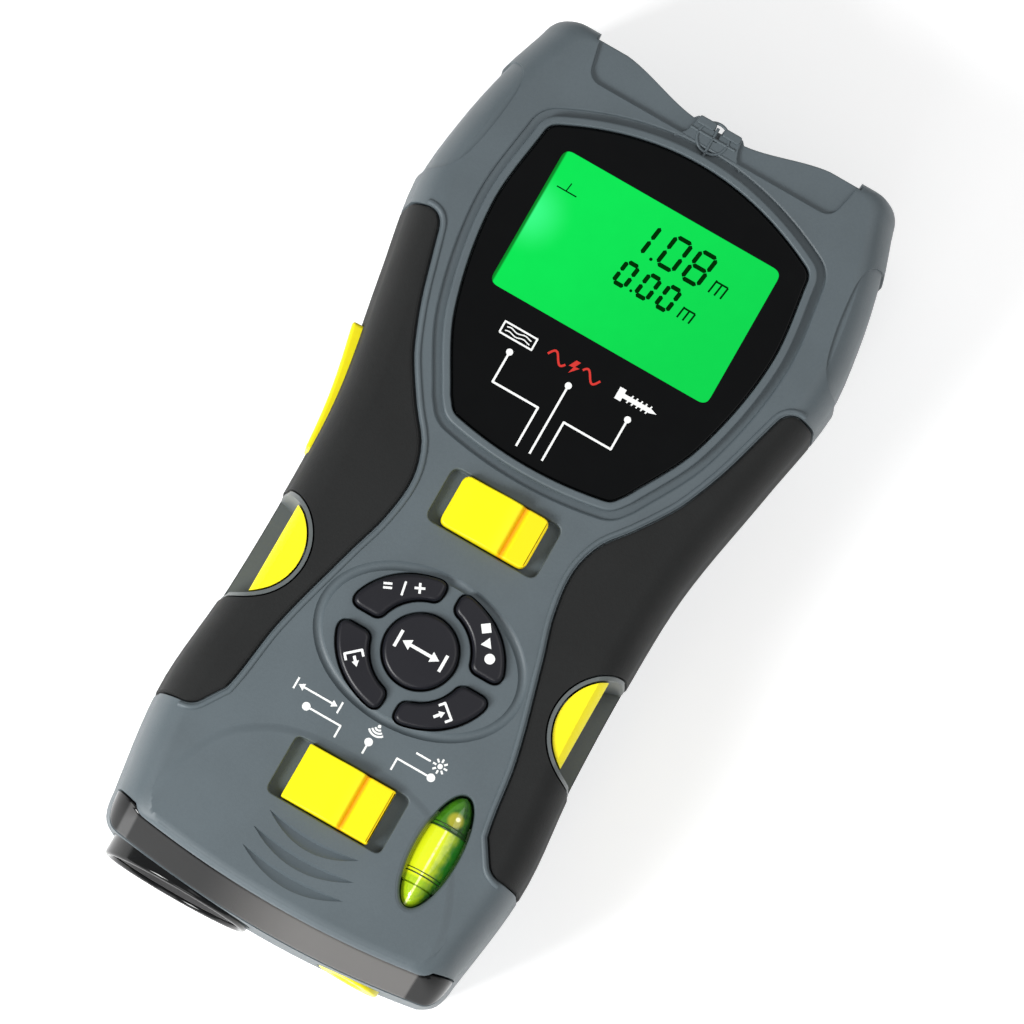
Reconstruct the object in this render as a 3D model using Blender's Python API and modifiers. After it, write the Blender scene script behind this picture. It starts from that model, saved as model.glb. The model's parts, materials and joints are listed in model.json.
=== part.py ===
"""Hand-held laser and ultrasonic distance meter with a stud detector in its head.

Metres, +Z up.  The meter lies on its back: X runs across it, +Y towards the detector head and +Z out of
the display face.  Stations are distances along the body from the sensor end, and y_at() turns a station
into Y.  Run with: blender --background --python part.py
"""
import math

import bmesh
import bpy
from mathutils import Matrix, Vector

MM = 0.001

# Clearances
fit_gap = 0.3 * MM            # between pieces that rest against each other
run_gap = 0.35 * MM           # around keys, sliders and buttons
over = 1.0 * MM               # how far a cutter runs past the face it cuts
beyond = 200.0 * MM           # reach of a cutter that takes everything on one side

# Overall shape
body_width = 82.2 * MM
body_depth = 41.0 * MM        # back to display face
front_depth = 9.6 * MM        # front cover, from the parting plane to the face
wall = 3.2 * MM
face_wall = 3.0 * MM
back_wall = 3.2 * MM
widest_height = 22.0 * MM     # height of the widest line of the sides
side_draft = 0.9 * MM
upper_draft = 0.8 * MM
shoulder = 5.9 * MM           # width of the rounding between the face and the sides
back_round = 2.4 * MM
end_draft = 1.2 * MM
end_bow_radius = 180.0 * MM
end_flat = 30.0 * MM          # half the width of the bowed sensor end
end_corner = 2.9 * MM
head_round = 2.4 * MM
head_corner = 3.8 * MM
head_dip = 4.9 * MM           # hollow in the head end, for sighting on a mark
head_step = 1.2 * MM
ear_gap = 25.5 * MM           # half the gap between the two bumper ears
dip_half = 19.8 * MM
band_slope = 4.2 * MM
band_lip = 1.0 * MM           # front cover left over the end band
band_length = 7.6 * MM
band_wall = 2.2 * MM

# Face layout, from the sensor end to the head
end_margin = 20.15 * MM
lower_slot = (21.8 * MM, 10.8 * MM)
lower_slider_width = 16.5 * MM
slot_to_keys = 8.7 * MM
keypad = (37.7 * MM, 27.1 * MM)
keys_to_slot = 6.5 * MM
upper_slot = (21.1 * MM, 10.1 * MM)
upper_slider_width = 16.4 * MM
slot_to_window = 5.85 * MM
window_length = 59.7 * MM
window_side_margin = 13.9 * MM
head_margin = 11.5 * MM
slot_depth = 1.6 * MM
slot_corner = 1.0 * MM        # small enough for the slider's square corners at the ends of its travel

# Window and display
window_ridge = 1.4 * MM
ridge_height = 1.0 * MM
groove_width = 1.5 * MM
groove_depth = 0.6 * MM
lens_thickness = 1.8 * MM
lens_rise = 0.4 * MM
display_view = (42.7 * MM, 27.4 * MM)
display_border = 2.6 * MM     # hidden edge of the cell around the view
display_from_top = 8.6 * MM   # from the top of the window to the view
cell_thickness = 1.8 * MM
frame_wall = 2.0 * MM

# Keys
read_key_radius = 6.35 * MM
key_circle = 8.8 * MM         # radius inside the four outer keys
key_ring = (14.5 * MM, 12.45 * MM)
key_cross = 1.45 * MM         # half the cross-shaped gap between the outer keys
key_corner = 1.1 * MM
key_rise = 1.4 * MM
key_flange = 0.8 * MM
key_flange_height = 1.1 * MM
key_travel = 0.8 * MM
mat_thickness = 1.0 * MM
board_thickness = 1.6 * MM
keypad_groove = 1.2 * MM

# Sliders
slider_rise = 1.5 * MM
slider_hump = 1.1 * MM
stem = (4.0 * MM, 3.0 * MM)
stem_foot = 0.6 * MM
foot_height = 0.9 * MM
switch_size = (14.0 * MM, 7.0 * MM)
switch_height = 1.7 * MM

# Rubber grips
grip_thickness = 1.2 * MM
grip_low = 4.5 * MM           # lower edge of the grips above the back
side_panel_depth = 0.6 * MM

# Wall-pin buttons at the sides
cup_outset = 1.0 * MM         # centre of the round recess outside the widest side
cup_radius = 10.9 * MM
cup_wall = 0.65 * MM
cup_drop = 23.0 * MM          # floor of the recess below the face
cup_floor = 1.6 * MM
pin_button_drop = 14.0 * MM   # underside of the button below the face
pin_travel = 4.5 * MM
pin_radius = 0.7 * MM
pin_head = (2.2 * MM, 0.8 * MM)
pin_tip = 0.8 * MM
pin_play = 0.4 * MM
spring_radius = 1.9 * MM
spring_wire = 0.3 * MM
spring_turns = 4

# Side trigger
trigger_length = 23.2 * MM
trigger_height = 9.4 * MM
trigger_offset = 3.5 * MM     # middle of the trigger behind the upper slot's top edge
trigger_proud = (0.5 * MM, 1.7 * MM)
trigger_travel = 1.2 * MM
trigger_flange = 1.0 * MM

# Bubble vial
vial_offset = 19.0 * MM
vial_window = (3.95 * MM, 10.65 * MM)
vial_gap = 0.4 * MM
vial_rise = 1.0 * MM
vial_bore = 1.95 * MM
vial_cut = 6.6 * MM           # where the plug begins, from the vial's middle
bubble = (1.15 * MM, 2.1 * MM)

# Sensors in the end wall
barrel_land = 2.0 * MM        # end wall left above and below the barrel
barrel_side_land = 3.1 * MM
barrel_wall = 1.3 * MM
barrel_reach = 0.6 * MM
barrel_depth = 16.0 * MM
horn_throat = 5.2 * MM
horn_depth = 10.0 * MM
horn_wall = 1.0 * MM
transducer = (8.0 * MM, 8.0 * MM)
laser_offset = 17.0 * MM
laser_ring_radius = 5.65 * MM
laser_hole = 2.75 * MM
laser_ring_proud = 0.5 * MM
laser_module_size = (4.6 * MM, 20.0 * MM)

# Battery and its door
battery_size = (26.5 * MM, 48.5 * MM, 17.5 * MM)
battery_station = 42.0 * MM
door_thickness = 1.8 * MM
door_inset = 0.2 * MM
door_margin = 3.9 * MM        # door beyond the battery at its hinge and latch ends
door_ledge = 1.8 * MM
door_opening_side = 0.45 * MM
hinge_stub = (0.7 * MM, 1.3 * MM)

# Fasteners
post_radius = 4.0 * MM
front_post_radius = 3.2 * MM
screw_bore = 1.5 * MM
screw_shaft = 1.2 * MM
screw_head = (2.6 * MM, 2.0 * MM)
screw_seat = 20.0 * MM        # seat of the case screws above the back
low_post_station = 26.0 * MM
high_post_from_head = 20.4 * MM
board_post_radius = 2.4 * MM
board_screw_radius = 0.9 * MM

# Derived stations and heights
lower_slot_station = end_margin + lower_slot[1] / 2
keypad_station = end_margin + lower_slot[1] + slot_to_keys + keypad[1] / 2
upper_slot_station = keypad_station + keypad[1] / 2 + keys_to_slot + upper_slot[1] / 2
window_start = upper_slot_station + upper_slot[1] / 2 + slot_to_window
window_end = window_start + window_length
body_length = window_end + head_margin
body_half = body_width / 2
window_half = body_half - window_side_margin
parting = body_depth - front_depth
underside = body_depth - face_wall
band_top = body_depth - band_lip
flange_top = underside - fit_gap
flange_low = flange_top - key_flange_height
mat_top = flange_low - key_travel - fit_gap
board_top = mat_top - mat_thickness - fit_gap
board_low = board_top - board_thickness
lens_seat = body_depth + lens_rise - lens_thickness - fit_gap
display_station = window_end - display_from_top - display_view[1] / 2
barrel_radius = parting / 2 - barrel_land
barrel_height = parting / 2
trigger_station = upper_slot_station + upper_slot[1] / 2 + trigger_offset
trigger_middle = widest_height
pin_button_radius = cup_radius - fit_gap - cup_wall - run_gap
pin_button_chord = cup_radius - 6.2 * MM   # from the recess centre to the flat of the button
pin_inset = cup_radius - 3.9 * MM          # pin inside the recess centre
cup_station = keypad_station + 3.2 * MM
high_post_station = body_length - high_post_from_head
door_start = battery_station - door_margin
door_end = battery_station + battery_size[1] + door_margin
door_half = battery_size[0] / 2 + door_ledge

# Side outline: (share of the length, share of the half width)
side_shape = (
    (0.030, 0.795), (0.175, 0.864), (0.300, 0.829), (0.440, 0.820), (0.540, 0.838),
    (0.675, 0.930), (0.782, 1.000), (0.860, 0.974), (0.930, 0.918), (0.975, 0.860),
)
# Inner edge of the grips, in the same shares
grip_shape = (
    (0.160, 0.860), (0.168, 0.775), (0.203, 0.710), (0.286, 0.676), (0.386, 0.560), (0.435, 0.493),
    (0.484, 0.467), (0.522, 0.512), (0.552, 0.607), (0.584, 0.690), (0.608, 0.736), (0.660, 0.790),
    (0.735, 0.830),
)

parts = None
tools = None


# ---------------------------------------------------------------- plane geometry

def y_at(station):
    """Y of a station; the overall box, barrel included, is centred on the origin."""
    return station - (body_length - barrel_reach) / 2


def through(shape, share):
    """Smooth curve through (position, value) pairs, read at a position."""
    index = 0
    while index < len(shape) - 2 and share > shape[index + 1][0]:
        index += 1
    before = shape[max(index - 1, 0)]
    start = shape[index]
    end = shape[index + 1]
    after = shape[min(index + 2, len(shape) - 1)]
    span = end[0] - start[0]
    start_slope = (end[1] - before[1]) / (end[0] - before[0])
    end_slope = (after[1] - start[1]) / (after[0] - start[0])
    t = (share - start[0]) / span
    return (start[1] * (2 * t ** 3 - 3 * t ** 2 + 1) + end[1] * (3 * t ** 2 - 2 * t ** 3)
            + start_slope * span * (t ** 3 - 2 * t ** 2 + t) + end_slope * span * (t ** 3 - t ** 2))


def half_width(station):
    return body_half * through(side_shape, station / body_length)


def mirrored(half):
    """Closed outline from its right half, listed from the sensor end to the head."""
    left = [(-x, y) for x, y in reversed(half) if x > 1e-6]
    return list(half) + left


def signed_area(loop):
    total = 0.0
    for (x0, y0), (x1, y1) in zip(loop, loop[1:] + loop[:1]):
        total += x0 * y1 - x1 * y0
    return total / 2


def corner_vectors(loop):
    """For each corner, the vector that moves its two edges outwards by one unit."""
    turn = 1.0 if signed_area(loop) > 0 else -1.0
    vectors = []
    for before, here, after in zip(loop[-1:] + loop[:-1], loop, loop[1:] + loop[:1]):
        first = Vector((here[0] - before[0], here[1] - before[1])).normalized()
        second = Vector((after[0] - here[0], after[1] - here[1])).normalized()
        first_out = Vector((first.y, -first.x)) * turn
        second_out = Vector((second.y, -second.x)) * turn
        vectors.append((first_out + second_out) / (1 + first_out.dot(second_out)))
    return vectors


def grown(loop, distance):
    """The outline moved outwards by a distance, or inwards by a negative one."""
    return [(x + v.x * distance, y + v.y * distance) for (x, y), v in zip(loop, corner_vectors(loop))]


def rounded(loop, radius, steps=3):
    """The outline with an arc of a radius at each corner that turns by more than 40 degrees."""
    result = []
    for before, here, after in zip(loop[-1:] + loop[:-1], loop, loop[1:] + loop[:1]):
        corner = Vector(here)
        back = Vector(before) - corner
        ahead = Vector(after) - corner
        turn = math.pi - back.angle(ahead)
        if turn < math.radians(40):
            result.append(here)
            continue
        reach = min(radius * math.tan(turn / 2), back.length * 0.48, ahead.length * 0.48)
        start = corner + back.normalized() * reach
        end = corner + ahead.normalized() * reach
        for step in range(steps + 1):
            t = step / steps
            point = start * (1 - t) ** 2 + corner * 2 * t * (1 - t) + end * t ** 2
            result.append((point.x, point.y))
    return result


def ellipse(centre, radii, sides):
    points = []
    for index in range(sides):
        angle = 2 * math.pi * index / sides
        points.append((centre[0] + radii[0] * math.cos(angle), centre[1] + radii[1] * math.sin(angle)))
    return points


def rectangle(centre, size):
    x, y = centre
    half_x, half_y = size[0] / 2, size[1] / 2
    return [(x - half_x, y - half_y), (x + half_x, y - half_y),
            (x + half_x, y + half_y), (x - half_x, y + half_y)]


def flipped(loop):
    """The outline mirrored across the middle of the body."""
    return [(-x, y) for x, y in reversed(loop)]


def arc_between(start, corner, end):
    """Three points of a rounded corner."""
    points = []
    for t in (0.35, 0.65, 1.0):
        point = Vector(start) * (1 - t) ** 2 + Vector(corner) * 2 * t * (1 - t) + Vector(end) * t ** 2
        points.append((point.x, point.y))
    return points


def end_bow(x):
    return end_bow_radius - math.sqrt(end_bow_radius ** 2 - x ** 2)


def body_outline(side=0.0, sensor=0.0, head=0.0):
    """Plan outline of the closed casing, drawn in at its sides, sensor end and head."""
    flat = end_flat - side
    half = [(flat * index / 4, y_at(sensor + end_bow(flat * index / 4))) for index in range(5)]
    side_start = sensor + end_bow(flat) + 2 * end_corner
    side_end = body_length - head - head_corner
    first = (half_width(side_start) - side, y_at(side_start))
    half += arc_between(half[-1], (first[0] - 0.3 * MM, half[-1][1] + 0.25 * MM), first)
    for index in range(1, 17):
        station = side_start + (side_end - side_start) * index / 16
        half.append((half_width(station) - side, y_at(station)))
    end = y_at(body_length - head)
    last = half[-1]
    half += arc_between(last, (last[0] - 0.6 * MM, end), (last[0] - head_corner, end))
    half.append((ear_gap * 0.5, end))
    return mirrored(half)


def window_outline():
    """Shield-shaped window: arched top, sides that widen and then taper, and a shallow bowed foot."""
    half = []
    shoulder_point = (window_half * 0.9375, window_end - window_length * 0.1156)
    foot_point = (window_half * 0.5625, window_start + window_length * 0.0285)
    for index in range(3):
        t = index / 3
        half.append((foot_point[0] * t, y_at(window_start + (foot_point[1] - window_start) * t ** 2)))
    side = ((0.0285, 0.5625), (0.0700, 0.6300), (0.285, 0.871), (0.600, 1.000), (0.8844, 0.9375))
    for index in range(7):
        share = side[0][0] + (side[-1][0] - side[0][0]) * (index / 6) ** 0.9
        half.append((window_half * through(side, share), y_at(window_start + window_length * share)))
    for index in range(1, 6):
        t = index / 5
        drop = (window_end - shoulder_point[1]) * (1 - t) ** 2
        half.append((shoulder_point[0] * (1 - t), y_at(window_end - drop)))
    return rounded(mirrored(half), 3.0 * MM, 2)


def grip_region(margin):
    """Plan area of the left grip, from its inner edge to well outside the body."""
    outside = -2 * body_half
    edge = []
    for index in range(18):
        share = grip_shape[0][0] + (grip_shape[-1][0] - grip_shape[0][0]) * index / 17
        station = share * body_length
        edge.append((-half_width(station) * through(grip_shape, share), y_at(station)))
    low = y_at((grip_shape[0][0] - 0.006) * body_length)
    high = y_at((grip_shape[-1][0] + 0.014) * body_length)
    loop = [(outside, low)] + edge + [(edge[-1][0] - 1.6 * MM, high), (outside, high)]
    return grown(loop, margin)


def sector_outline(sign_x, sign_y):
    """One of the four outer keys, between the inner circle and the outer ellipse."""
    start = math.asin(key_cross / key_ring[1])
    end = math.acos(key_cross / key_ring[0])
    loop = []
    for index in range(6):
        angle = start + (end - start) * index / 5
        loop.append((key_ring[0] * math.cos(angle), key_ring[1] * math.sin(angle)))
    start = math.asin(key_cross / key_circle)
    end = math.pi / 2 - start
    for index in range(4):
        angle = end + (start - end) * index / 3
        loop.append((key_circle * math.cos(angle), key_circle * math.sin(angle)))
    loop = rounded(loop, key_corner, 2)
    loop = [(x * sign_x, y * sign_y + y_at(keypad_station)) for x, y in loop]
    if sign_x * sign_y < 0:
        loop.reverse()
    return loop


# ---------------------------------------------------------------- solids

def add_object(name, mesh):
    part = bpy.data.objects.new(name, mesh)
    tools.objects.link(part)
    part.hide_render = True
    part.display_type = "WIRE"
    return part


def from_bmesh(name, shape):
    mesh = bpy.data.meshes.new(name)
    bmesh.ops.recalc_face_normals(shape, faces=shape.faces)
    shape.to_mesh(mesh)
    shape.free()
    return add_object(name, mesh)


def frozen(source, matrix):
    """A plain mesh object from a curve or a modifier stack, welded, closed and moved by a matrix."""
    depsgraph = bpy.context.evaluated_depsgraph_get()
    mesh = bpy.data.meshes.new_from_object(source.evaluated_get(depsgraph))
    name = source.name
    data = source.data
    bpy.data.objects.remove(source)
    if isinstance(data, bpy.types.Curve):
        bpy.data.curves.remove(data)
    else:
        bpy.data.meshes.remove(data)
    shape = bmesh.new()
    shape.from_mesh(mesh)
    bpy.data.meshes.remove(mesh)
    bmesh.ops.remove_doubles(shape, verts=shape.verts, dist=0.00001)
    bmesh.ops.transform(shape, matrix=matrix, verts=shape.verts)
    return from_bmesh(name, shape)


def plate(name, loops, low, high):
    """Flat outlines with straight walls between two heights; inner outlines are holes."""
    curve = bpy.data.curves.new(name, "CURVE")
    curve.dimensions = "2D"
    curve.fill_mode = "BOTH"
    curve.extrude = (high - low) / 2
    for loop in loops:
        spline = curve.splines.new("POLY")
        spline.points.add(len(loop) - 1)
        for point, (x, y) in zip(spline.points, loop):
            point.co = (x, y, 0.0, 1.0)
        spline.use_cyclic_u = True
    return frozen(add_object(name, curve), Matrix.Translation((0, 0, (low + high) / 2)))


def block(name, low, high):
    """A box between two opposite corners."""
    shape = bmesh.new()
    size = Vector(high) - Vector(low)
    centre = (Vector(high) + Vector(low)) / 2
    bmesh.ops.create_cube(shape, size=1.0, matrix=Matrix.Translation(centre) @ Matrix.Diagonal((*size, 1)))
    return from_bmesh(name, shape)


def rod(name, radius, start, end, sides=16):
    """A cylinder between two points."""
    start = Vector(start)
    run = Vector(end) - start
    turn = Vector((0, 0, 1)).rotation_difference(run).to_matrix().to_4x4()
    shape = bmesh.new()
    bmesh.ops.create_cone(shape, cap_ends=True, segments=sides, radius1=radius, radius2=radius,
                          depth=run.length, matrix=Matrix.Translation(start + run / 2) @ turn)
    return from_bmesh(name, shape)


def turned(name, profile, origin, axis, sides=24, closed=False):
    """A profile of (radius, distance along the axis) turned about an axis through the origin point."""
    shape = bmesh.new()
    verts = [shape.verts.new((radius, 0, along)) for radius, along in profile]
    pairs = list(zip(verts, verts[1:]))
    if closed:
        pairs.append((verts[-1], verts[0]))
    for pair in pairs:
        shape.edges.new(pair)
    mesh = bpy.data.meshes.new(name)
    shape.to_mesh(mesh)
    shape.free()
    part = add_object(name, mesh)
    screw = part.modifiers.new("Turn", "SCREW")
    screw.axis = "Z"
    screw.angle = 2 * math.pi
    screw.steps = sides
    screw.render_steps = sides
    screw.use_merge_vertices = True
    screw.merge_threshold = 0.00001
    turn = Vector((0, 0, 1)).rotation_difference(Vector(axis)).to_matrix().to_4x4()
    return frozen(part, Matrix.Translation(origin) @ turn)


def loft(name, rings):
    """A closed solid through rings of equally many points, each with its height."""
    shape = bmesh.new()
    rows = []
    for loop, height in rings:
        rows.append([shape.verts.new((x, y, height)) for x, y in loop])
    for low, high in zip(rows, rows[1:]):
        for index in range(len(low)):
            after = (index + 1) % len(low)
            shape.faces.new((low[index], low[after], high[after], high[index]))
    shape.faces.new(list(reversed(rows[0])))
    shape.faces.new(rows[-1])
    bmesh.ops.triangulate(shape, faces=shape.faces)
    return from_bmesh(name, shape)


def wire(name, points, radius):
    """A round wire along a list of points."""
    curve = bpy.data.curves.new(name, "CURVE")
    curve.dimensions = "3D"
    curve.bevel_depth = radius
    curve.bevel_resolution = 1
    curve.use_fill_caps = True
    spline = curve.splines.new("POLY")
    spline.points.add(len(points) - 1)
    for point, place in zip(spline.points, points):
        point.co = (*place, 1.0)
    return frozen(add_object(name, curve), Matrix.Identity(4))


def boolean(part, operation, others):
    for other in others:
        modifier = part.modifiers.new(operation.title(), "BOOLEAN")
        modifier.operation = operation
        modifier.object = other
    return part


def cut(part, *cutters):
    return boolean(part, "DIFFERENCE", cutters)


def join(part, *others):
    return boolean(part, "UNION", others)


def keep(part, *others):
    return boolean(part, "INTERSECT", others)


def soften(part, width, angle=50):
    """Round the sharp edges of a part."""
    bevel = part.modifiers.new("Soft edges", "BEVEL")
    bevel.width = width
    bevel.segments = 2
    bevel.limit_method = "ANGLE"
    bevel.angle_limit = math.radians(angle)
    return part


def tipped(part):
    """Turn a flat plate so that its outline stands in the XZ plane and its thickness runs along Y."""
    part.data.transform(Matrix.Rotation(math.pi / 2, 4, "X"))
    return part


def moved(part, offset):
    part.data.transform(Matrix.Translation(offset))
    return part


# ---------------------------------------------------------------- materials and finishing

def make_material(name, colour, roughness, metallic=0.0):
    material = bpy.data.materials.new(name)
    material.use_nodes = True
    shader = material.node_tree.nodes["Principled BSDF"]
    shader.inputs["Base Color"].default_value = (*colour, 1.0)
    shader.inputs["Roughness"].default_value = roughness
    shader.inputs["Metallic"].default_value = metallic
    material.diffuse_color = (*colour, 1.0)
    return material


def finish(part, material, origin=(0, 0, 0)):
    """Make an object one of the meter's pieces, with its material and its origin on its joint."""
    part.data.materials.clear()
    part.data.materials.append(make_material(part.name, *material))
    part.data.shade_smooth()
    part.data.set_sharp_from_angle(angle=math.radians(35))
    part.data.transform(Matrix.Translation(-Vector(origin)))
    part.location = origin
    tools.objects.unlink(part)
    parts.objects.link(part)
    part.hide_render = False
    part.display_type = "TEXTURED"
    return part


grey_shell = ((0.122, 0.155, 0.168), 0.5)
grey_inside = ((0.10, 0.12, 0.13), 0.6)
black_rubber = ((0.032, 0.034, 0.032), 0.8)
black_gloss = ((0.008, 0.009, 0.009), 0.12)
black_matte = ((0.02, 0.02, 0.02), 0.5)
key_black = ((0.017, 0.017, 0.028), 0.35)
yellow_plastic = ((1.0, 0.85, 0.0), 0.35)
vial_green = ((0.55, 0.75, 0.02), 0.08)
clear_air = ((0.9, 0.95, 0.8), 0.05)
white_plastic = ((0.8, 0.8, 0.78), 0.4)
display_green = ((0.0, 0.72, 0.08), 0.3)
board_green = ((0.01, 0.12, 0.04), 0.45)
steel = ((0.6, 0.6, 0.6), 0.3, 1.0)
brass = ((0.6, 0.45, 0.2), 0.3, 1.0)
copper = ((0.7, 0.35, 0.2), 0.35, 1.0)
pale_rubber = ((0.45, 0.45, 0.45), 0.8)


# ---------------------------------------------------------------- casing surfaces

def side_inset(height):
    """How far the side lies inside the widest outline at a height."""
    if height <= widest_height:
        inset = side_draft * (1 - height / widest_height)
    elif height <= parting:
        inset = upper_draft * (height - widest_height) / (parting - widest_height)
    else:
        rise = min((height - parting) / front_depth, 1.0)
        inset = upper_draft + shoulder * (1 - math.sqrt(1 - rise ** 2))
    return inset + rounding(height, back_round)


def rounding(height, radius):
    """Inset of the rounded edge at the back."""
    share = min(max(1 - height / radius, 0.0), 1.0)
    return radius * (1 - math.sqrt(1 - share ** 2))


def sensor_inset(height):
    if height <= parting:
        return end_draft * (1 - height / parting) + rounding(height, back_round)
    share = min((height - parting) / (band_top - parting), 1.0)
    lip = max(height - band_top, 0.0) / band_lip
    return band_slope * share + 0.8 * MM * lip ** 2


def head_inset(height):
    share = max(height - (body_depth - head_round), 0.0) / head_round
    return rounding(height, back_round) + head_round * (1 - math.sqrt(1 - min(share, 1.0) ** 2))


def casing(name, inset=0.0, low=0.0, high=None, head_extra=0.0, out=0.0):
    """The casing's form between two heights, drawn in by an inset; out swells it for a cutter."""
    high = body_depth if high is None else high
    heights = [low]
    for angle in (45, 90):
        heights.append(back_round * (1 - math.cos(math.radians(angle))))
    heights += [widest_height, parting]
    for angle in (18, 38, 58, 76) if inset == 0 else (30, 58):
        heights.append(parting + front_depth * math.sin(math.radians(angle)))
    heights.append(high)
    heights = [height for height in heights if low <= height <= high]
    rings = []
    for height in sorted(set(heights)):
        level = max(height, back_round) if inset > 0 else height
        draw_in = inset - out
        outline = body_outline(side_inset(level) + draw_in, sensor_inset(level) + draw_in,
                               head_inset(level) + draw_in + head_extra)
        rings.append((outline, height))
    return loft(name, rings)


def skin_pocket(name, depth, swell=3.0 * MM):
    """A shell that follows the casing's surface from a depth below it to well outside it."""
    outer = casing(name, out=swell, low=-over)
    inner = casing(name + "_core", inset=depth, low=-2 * over, high=body_depth - depth)
    cap = plate(name + "_cap", [grown(body_outline(), 2 * MM)], body_depth - depth / 2, body_depth + 4 * MM)
    join(outer, cap)
    cut(outer, inner)
    return outer


def grip_space(name, depth, margin, sign):
    """Where a grip goes: the casing's skin to a depth, within the grip's plan area."""
    region = grip_region(margin)
    if sign > 0:
        region = flipped(region)
    space = plate(name, [region], grip_low - margin, body_depth + 3 * MM)
    inner = casing(name + "_core", inset=depth, low=-over, high=body_depth - depth)
    return cut(space, inner)


# ---------------------------------------------------------------- shared cutters

def cup_centre(sign):
    return sign * (half_width(cup_station) + cup_outset), y_at(cup_station)


def post_places():
    low_x = half_width(low_post_station) - wall - post_radius + 0.2 * MM
    high_x = half_width(high_post_station) - wall - upper_draft - post_radius
    places = []
    for sign in (-1, 1):
        places.append((sign * low_x, y_at(low_post_station)))
        places.append((sign * high_x, y_at(high_post_station)))
    return places


def board_post_places():
    middle = (window_start + window_length * 0.18)
    return [(sign * 19.0 * MM, y_at(middle)) for sign in (-1, 1)]


def cup_cutter(name, sign, radius, low):
    x, y = cup_centre(sign)
    return rod(name, radius, (x, y, low), (x, y, body_depth + 5 * MM), 36)


def barrel_place():
    x = -(half_width(0.03 * body_length) - barrel_side_land - barrel_radius)
    return x, barrel_height


def laser_height():
    return parting / 2


# ---------------------------------------------------------------- casing pieces

def head_dip_cutter():
    """The hollow between the ears, with two small sighting tabs and a notch between them."""
    end = y_at(body_length)
    half = [(0, end - head_dip), (0.6 * MM, end - head_dip), (0.7 * MM, end - head_dip + 0.8 * MM),
            (4.3 * MM, end - head_dip + 0.9 * MM), (4.9 * MM, end - head_dip + 0.2 * MM)]
    for index in range(1, 6):
        t = index / 5
        x = 4.9 * MM + (dip_half - 4.9 * MM) * t
        ease = t * t * (3 - 2 * t)
        y = end - head_dip + 0.2 * MM + (head_dip - head_step - 0.2 * MM) * (0.45 * t + 0.55 * ease)
        half.append((x, y))
    half += [(ear_gap, end - head_step), (ear_gap, end + 5 * MM)]
    loop = half + [(-x, y) for x, y in reversed(half) if x > 0]
    return plate("head_dip", [loop], -over, body_depth + over)


def head_plate_cutter():
    """The recessed plate between the ears, on the face side."""
    end = y_at(body_length)
    low = y_at(window_end) + 3.4 * MM
    loop = [(-ear_gap + 1.6 * MM, low), (ear_gap - 1.6 * MM, low), (ear_gap, end + over),
            (-ear_gap, end + over)]
    return plate("head_plate", [rounded(loop, 2.5 * MM)], body_depth - 0.8 * MM, body_depth + over)


def sight_boss():
    """A low flared boss on the head plate, behind the sighting notch."""
    end = y_at(body_length) - head_dip
    low = y_at(window_end) + 3.0 * MM
    half = [(0.7 * MM, end + 0.5 * MM), (4.2 * MM, end + 0.5 * MM), (4.6 * MM, end - 1.5 * MM),
            (6.2 * MM, low)]
    loop = half + [(-x, y) for x, y in reversed(half)]
    return plate("sight_boss", [loop], body_depth - 2 * MM, body_depth + 0.15 * MM)


def sight_notch():
    end = y_at(body_length) - head_dip
    return block("sight_notch", (-0.6 * MM, end - 4.0 * MM, body_depth - 0.45 * MM),
                 (0.6 * MM, end + 4.0 * MM, body_depth + over))


def crescent(index):
    """One of three shallow crescents below the lower slider."""
    half = (8.6 + 1.1 * min(index, 1)) * MM
    middle = end_margin - (2.5 + 3.6 * index) * MM
    loop = []
    for step in range(9):
        t = -1 + step / 4
        loop.append((half * t, y_at(middle) - 3.0 * MM * (1 - t * t)))
    for step in range(7, 0, -1):
        t = -1 + step / 4
        loop.append((half * t, y_at(middle) - 0.65 * MM * (1 - t * t)))
    return plate("crescent", [loop], body_depth - 0.6 * MM, body_depth + over)


def slot_cutters(name, station, slot, slider_width):
    """A shallow recess for a slider and the through slot for its stem."""
    recess = rounded(rectangle((0, y_at(station)), slot), slot_corner)
    travel = (slot[0] - slider_width) / 2 - run_gap
    opening = (stem[0] + 2 * travel + 2 * run_gap, stem[1] + 2 * run_gap)
    return (plate(name + "_recess", [recess], body_depth - slot_depth - fit_gap, body_depth + over),
            plate(name + "_slot", [rectangle((0, y_at(station)), opening)], underside - over,
                  body_depth))


def keypad_cutters():
    """The oval groove around the keys and one opening for each key."""
    centre = (0, y_at(keypad_station))
    outer = ellipse(centre, (keypad[0] / 2, keypad[1] / 2), 32)
    inner = ellipse(centre, (keypad[0] / 2 - keypad_groove, keypad[1] / 2 - keypad_groove), 32)
    cutters = [plate("keypad_groove", [outer, inner], body_depth - 0.5 * MM, body_depth + over)]
    for sign_x in (-1, 1):
        for sign_y in (-1, 1):
            opening = grown(sector_outline(sign_x, sign_y), run_gap)
            cutters.append(plate("key_opening", [opening], underside - over, body_depth + over))
    cutters.append(rod("read_opening", read_key_radius + run_gap, (0, centre[1], underside - over),
                       (0, centre[1], body_depth + over), 24))
    return cutters


def window_cutters():
    """The groove outside the window's ridge, the seat of the lens and the opening over the display."""
    outline = window_outline()
    outer = grown(outline, window_ridge + groove_width)
    inner = grown(outline, window_ridge)
    cell = (display_view[0] + display_border, display_view[1] + display_border)
    opening = rounded(rectangle((0, y_at(display_station)), cell), 1.5 * MM)
    return (plate("window_groove", [outer, inner], body_depth - groove_depth, body_depth + 3 * MM),
            plate("lens_pocket", [outline], lens_seat, body_depth + 3 * MM),
            plate("display_opening", [opening], underside - over, lens_seat + over))


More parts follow.
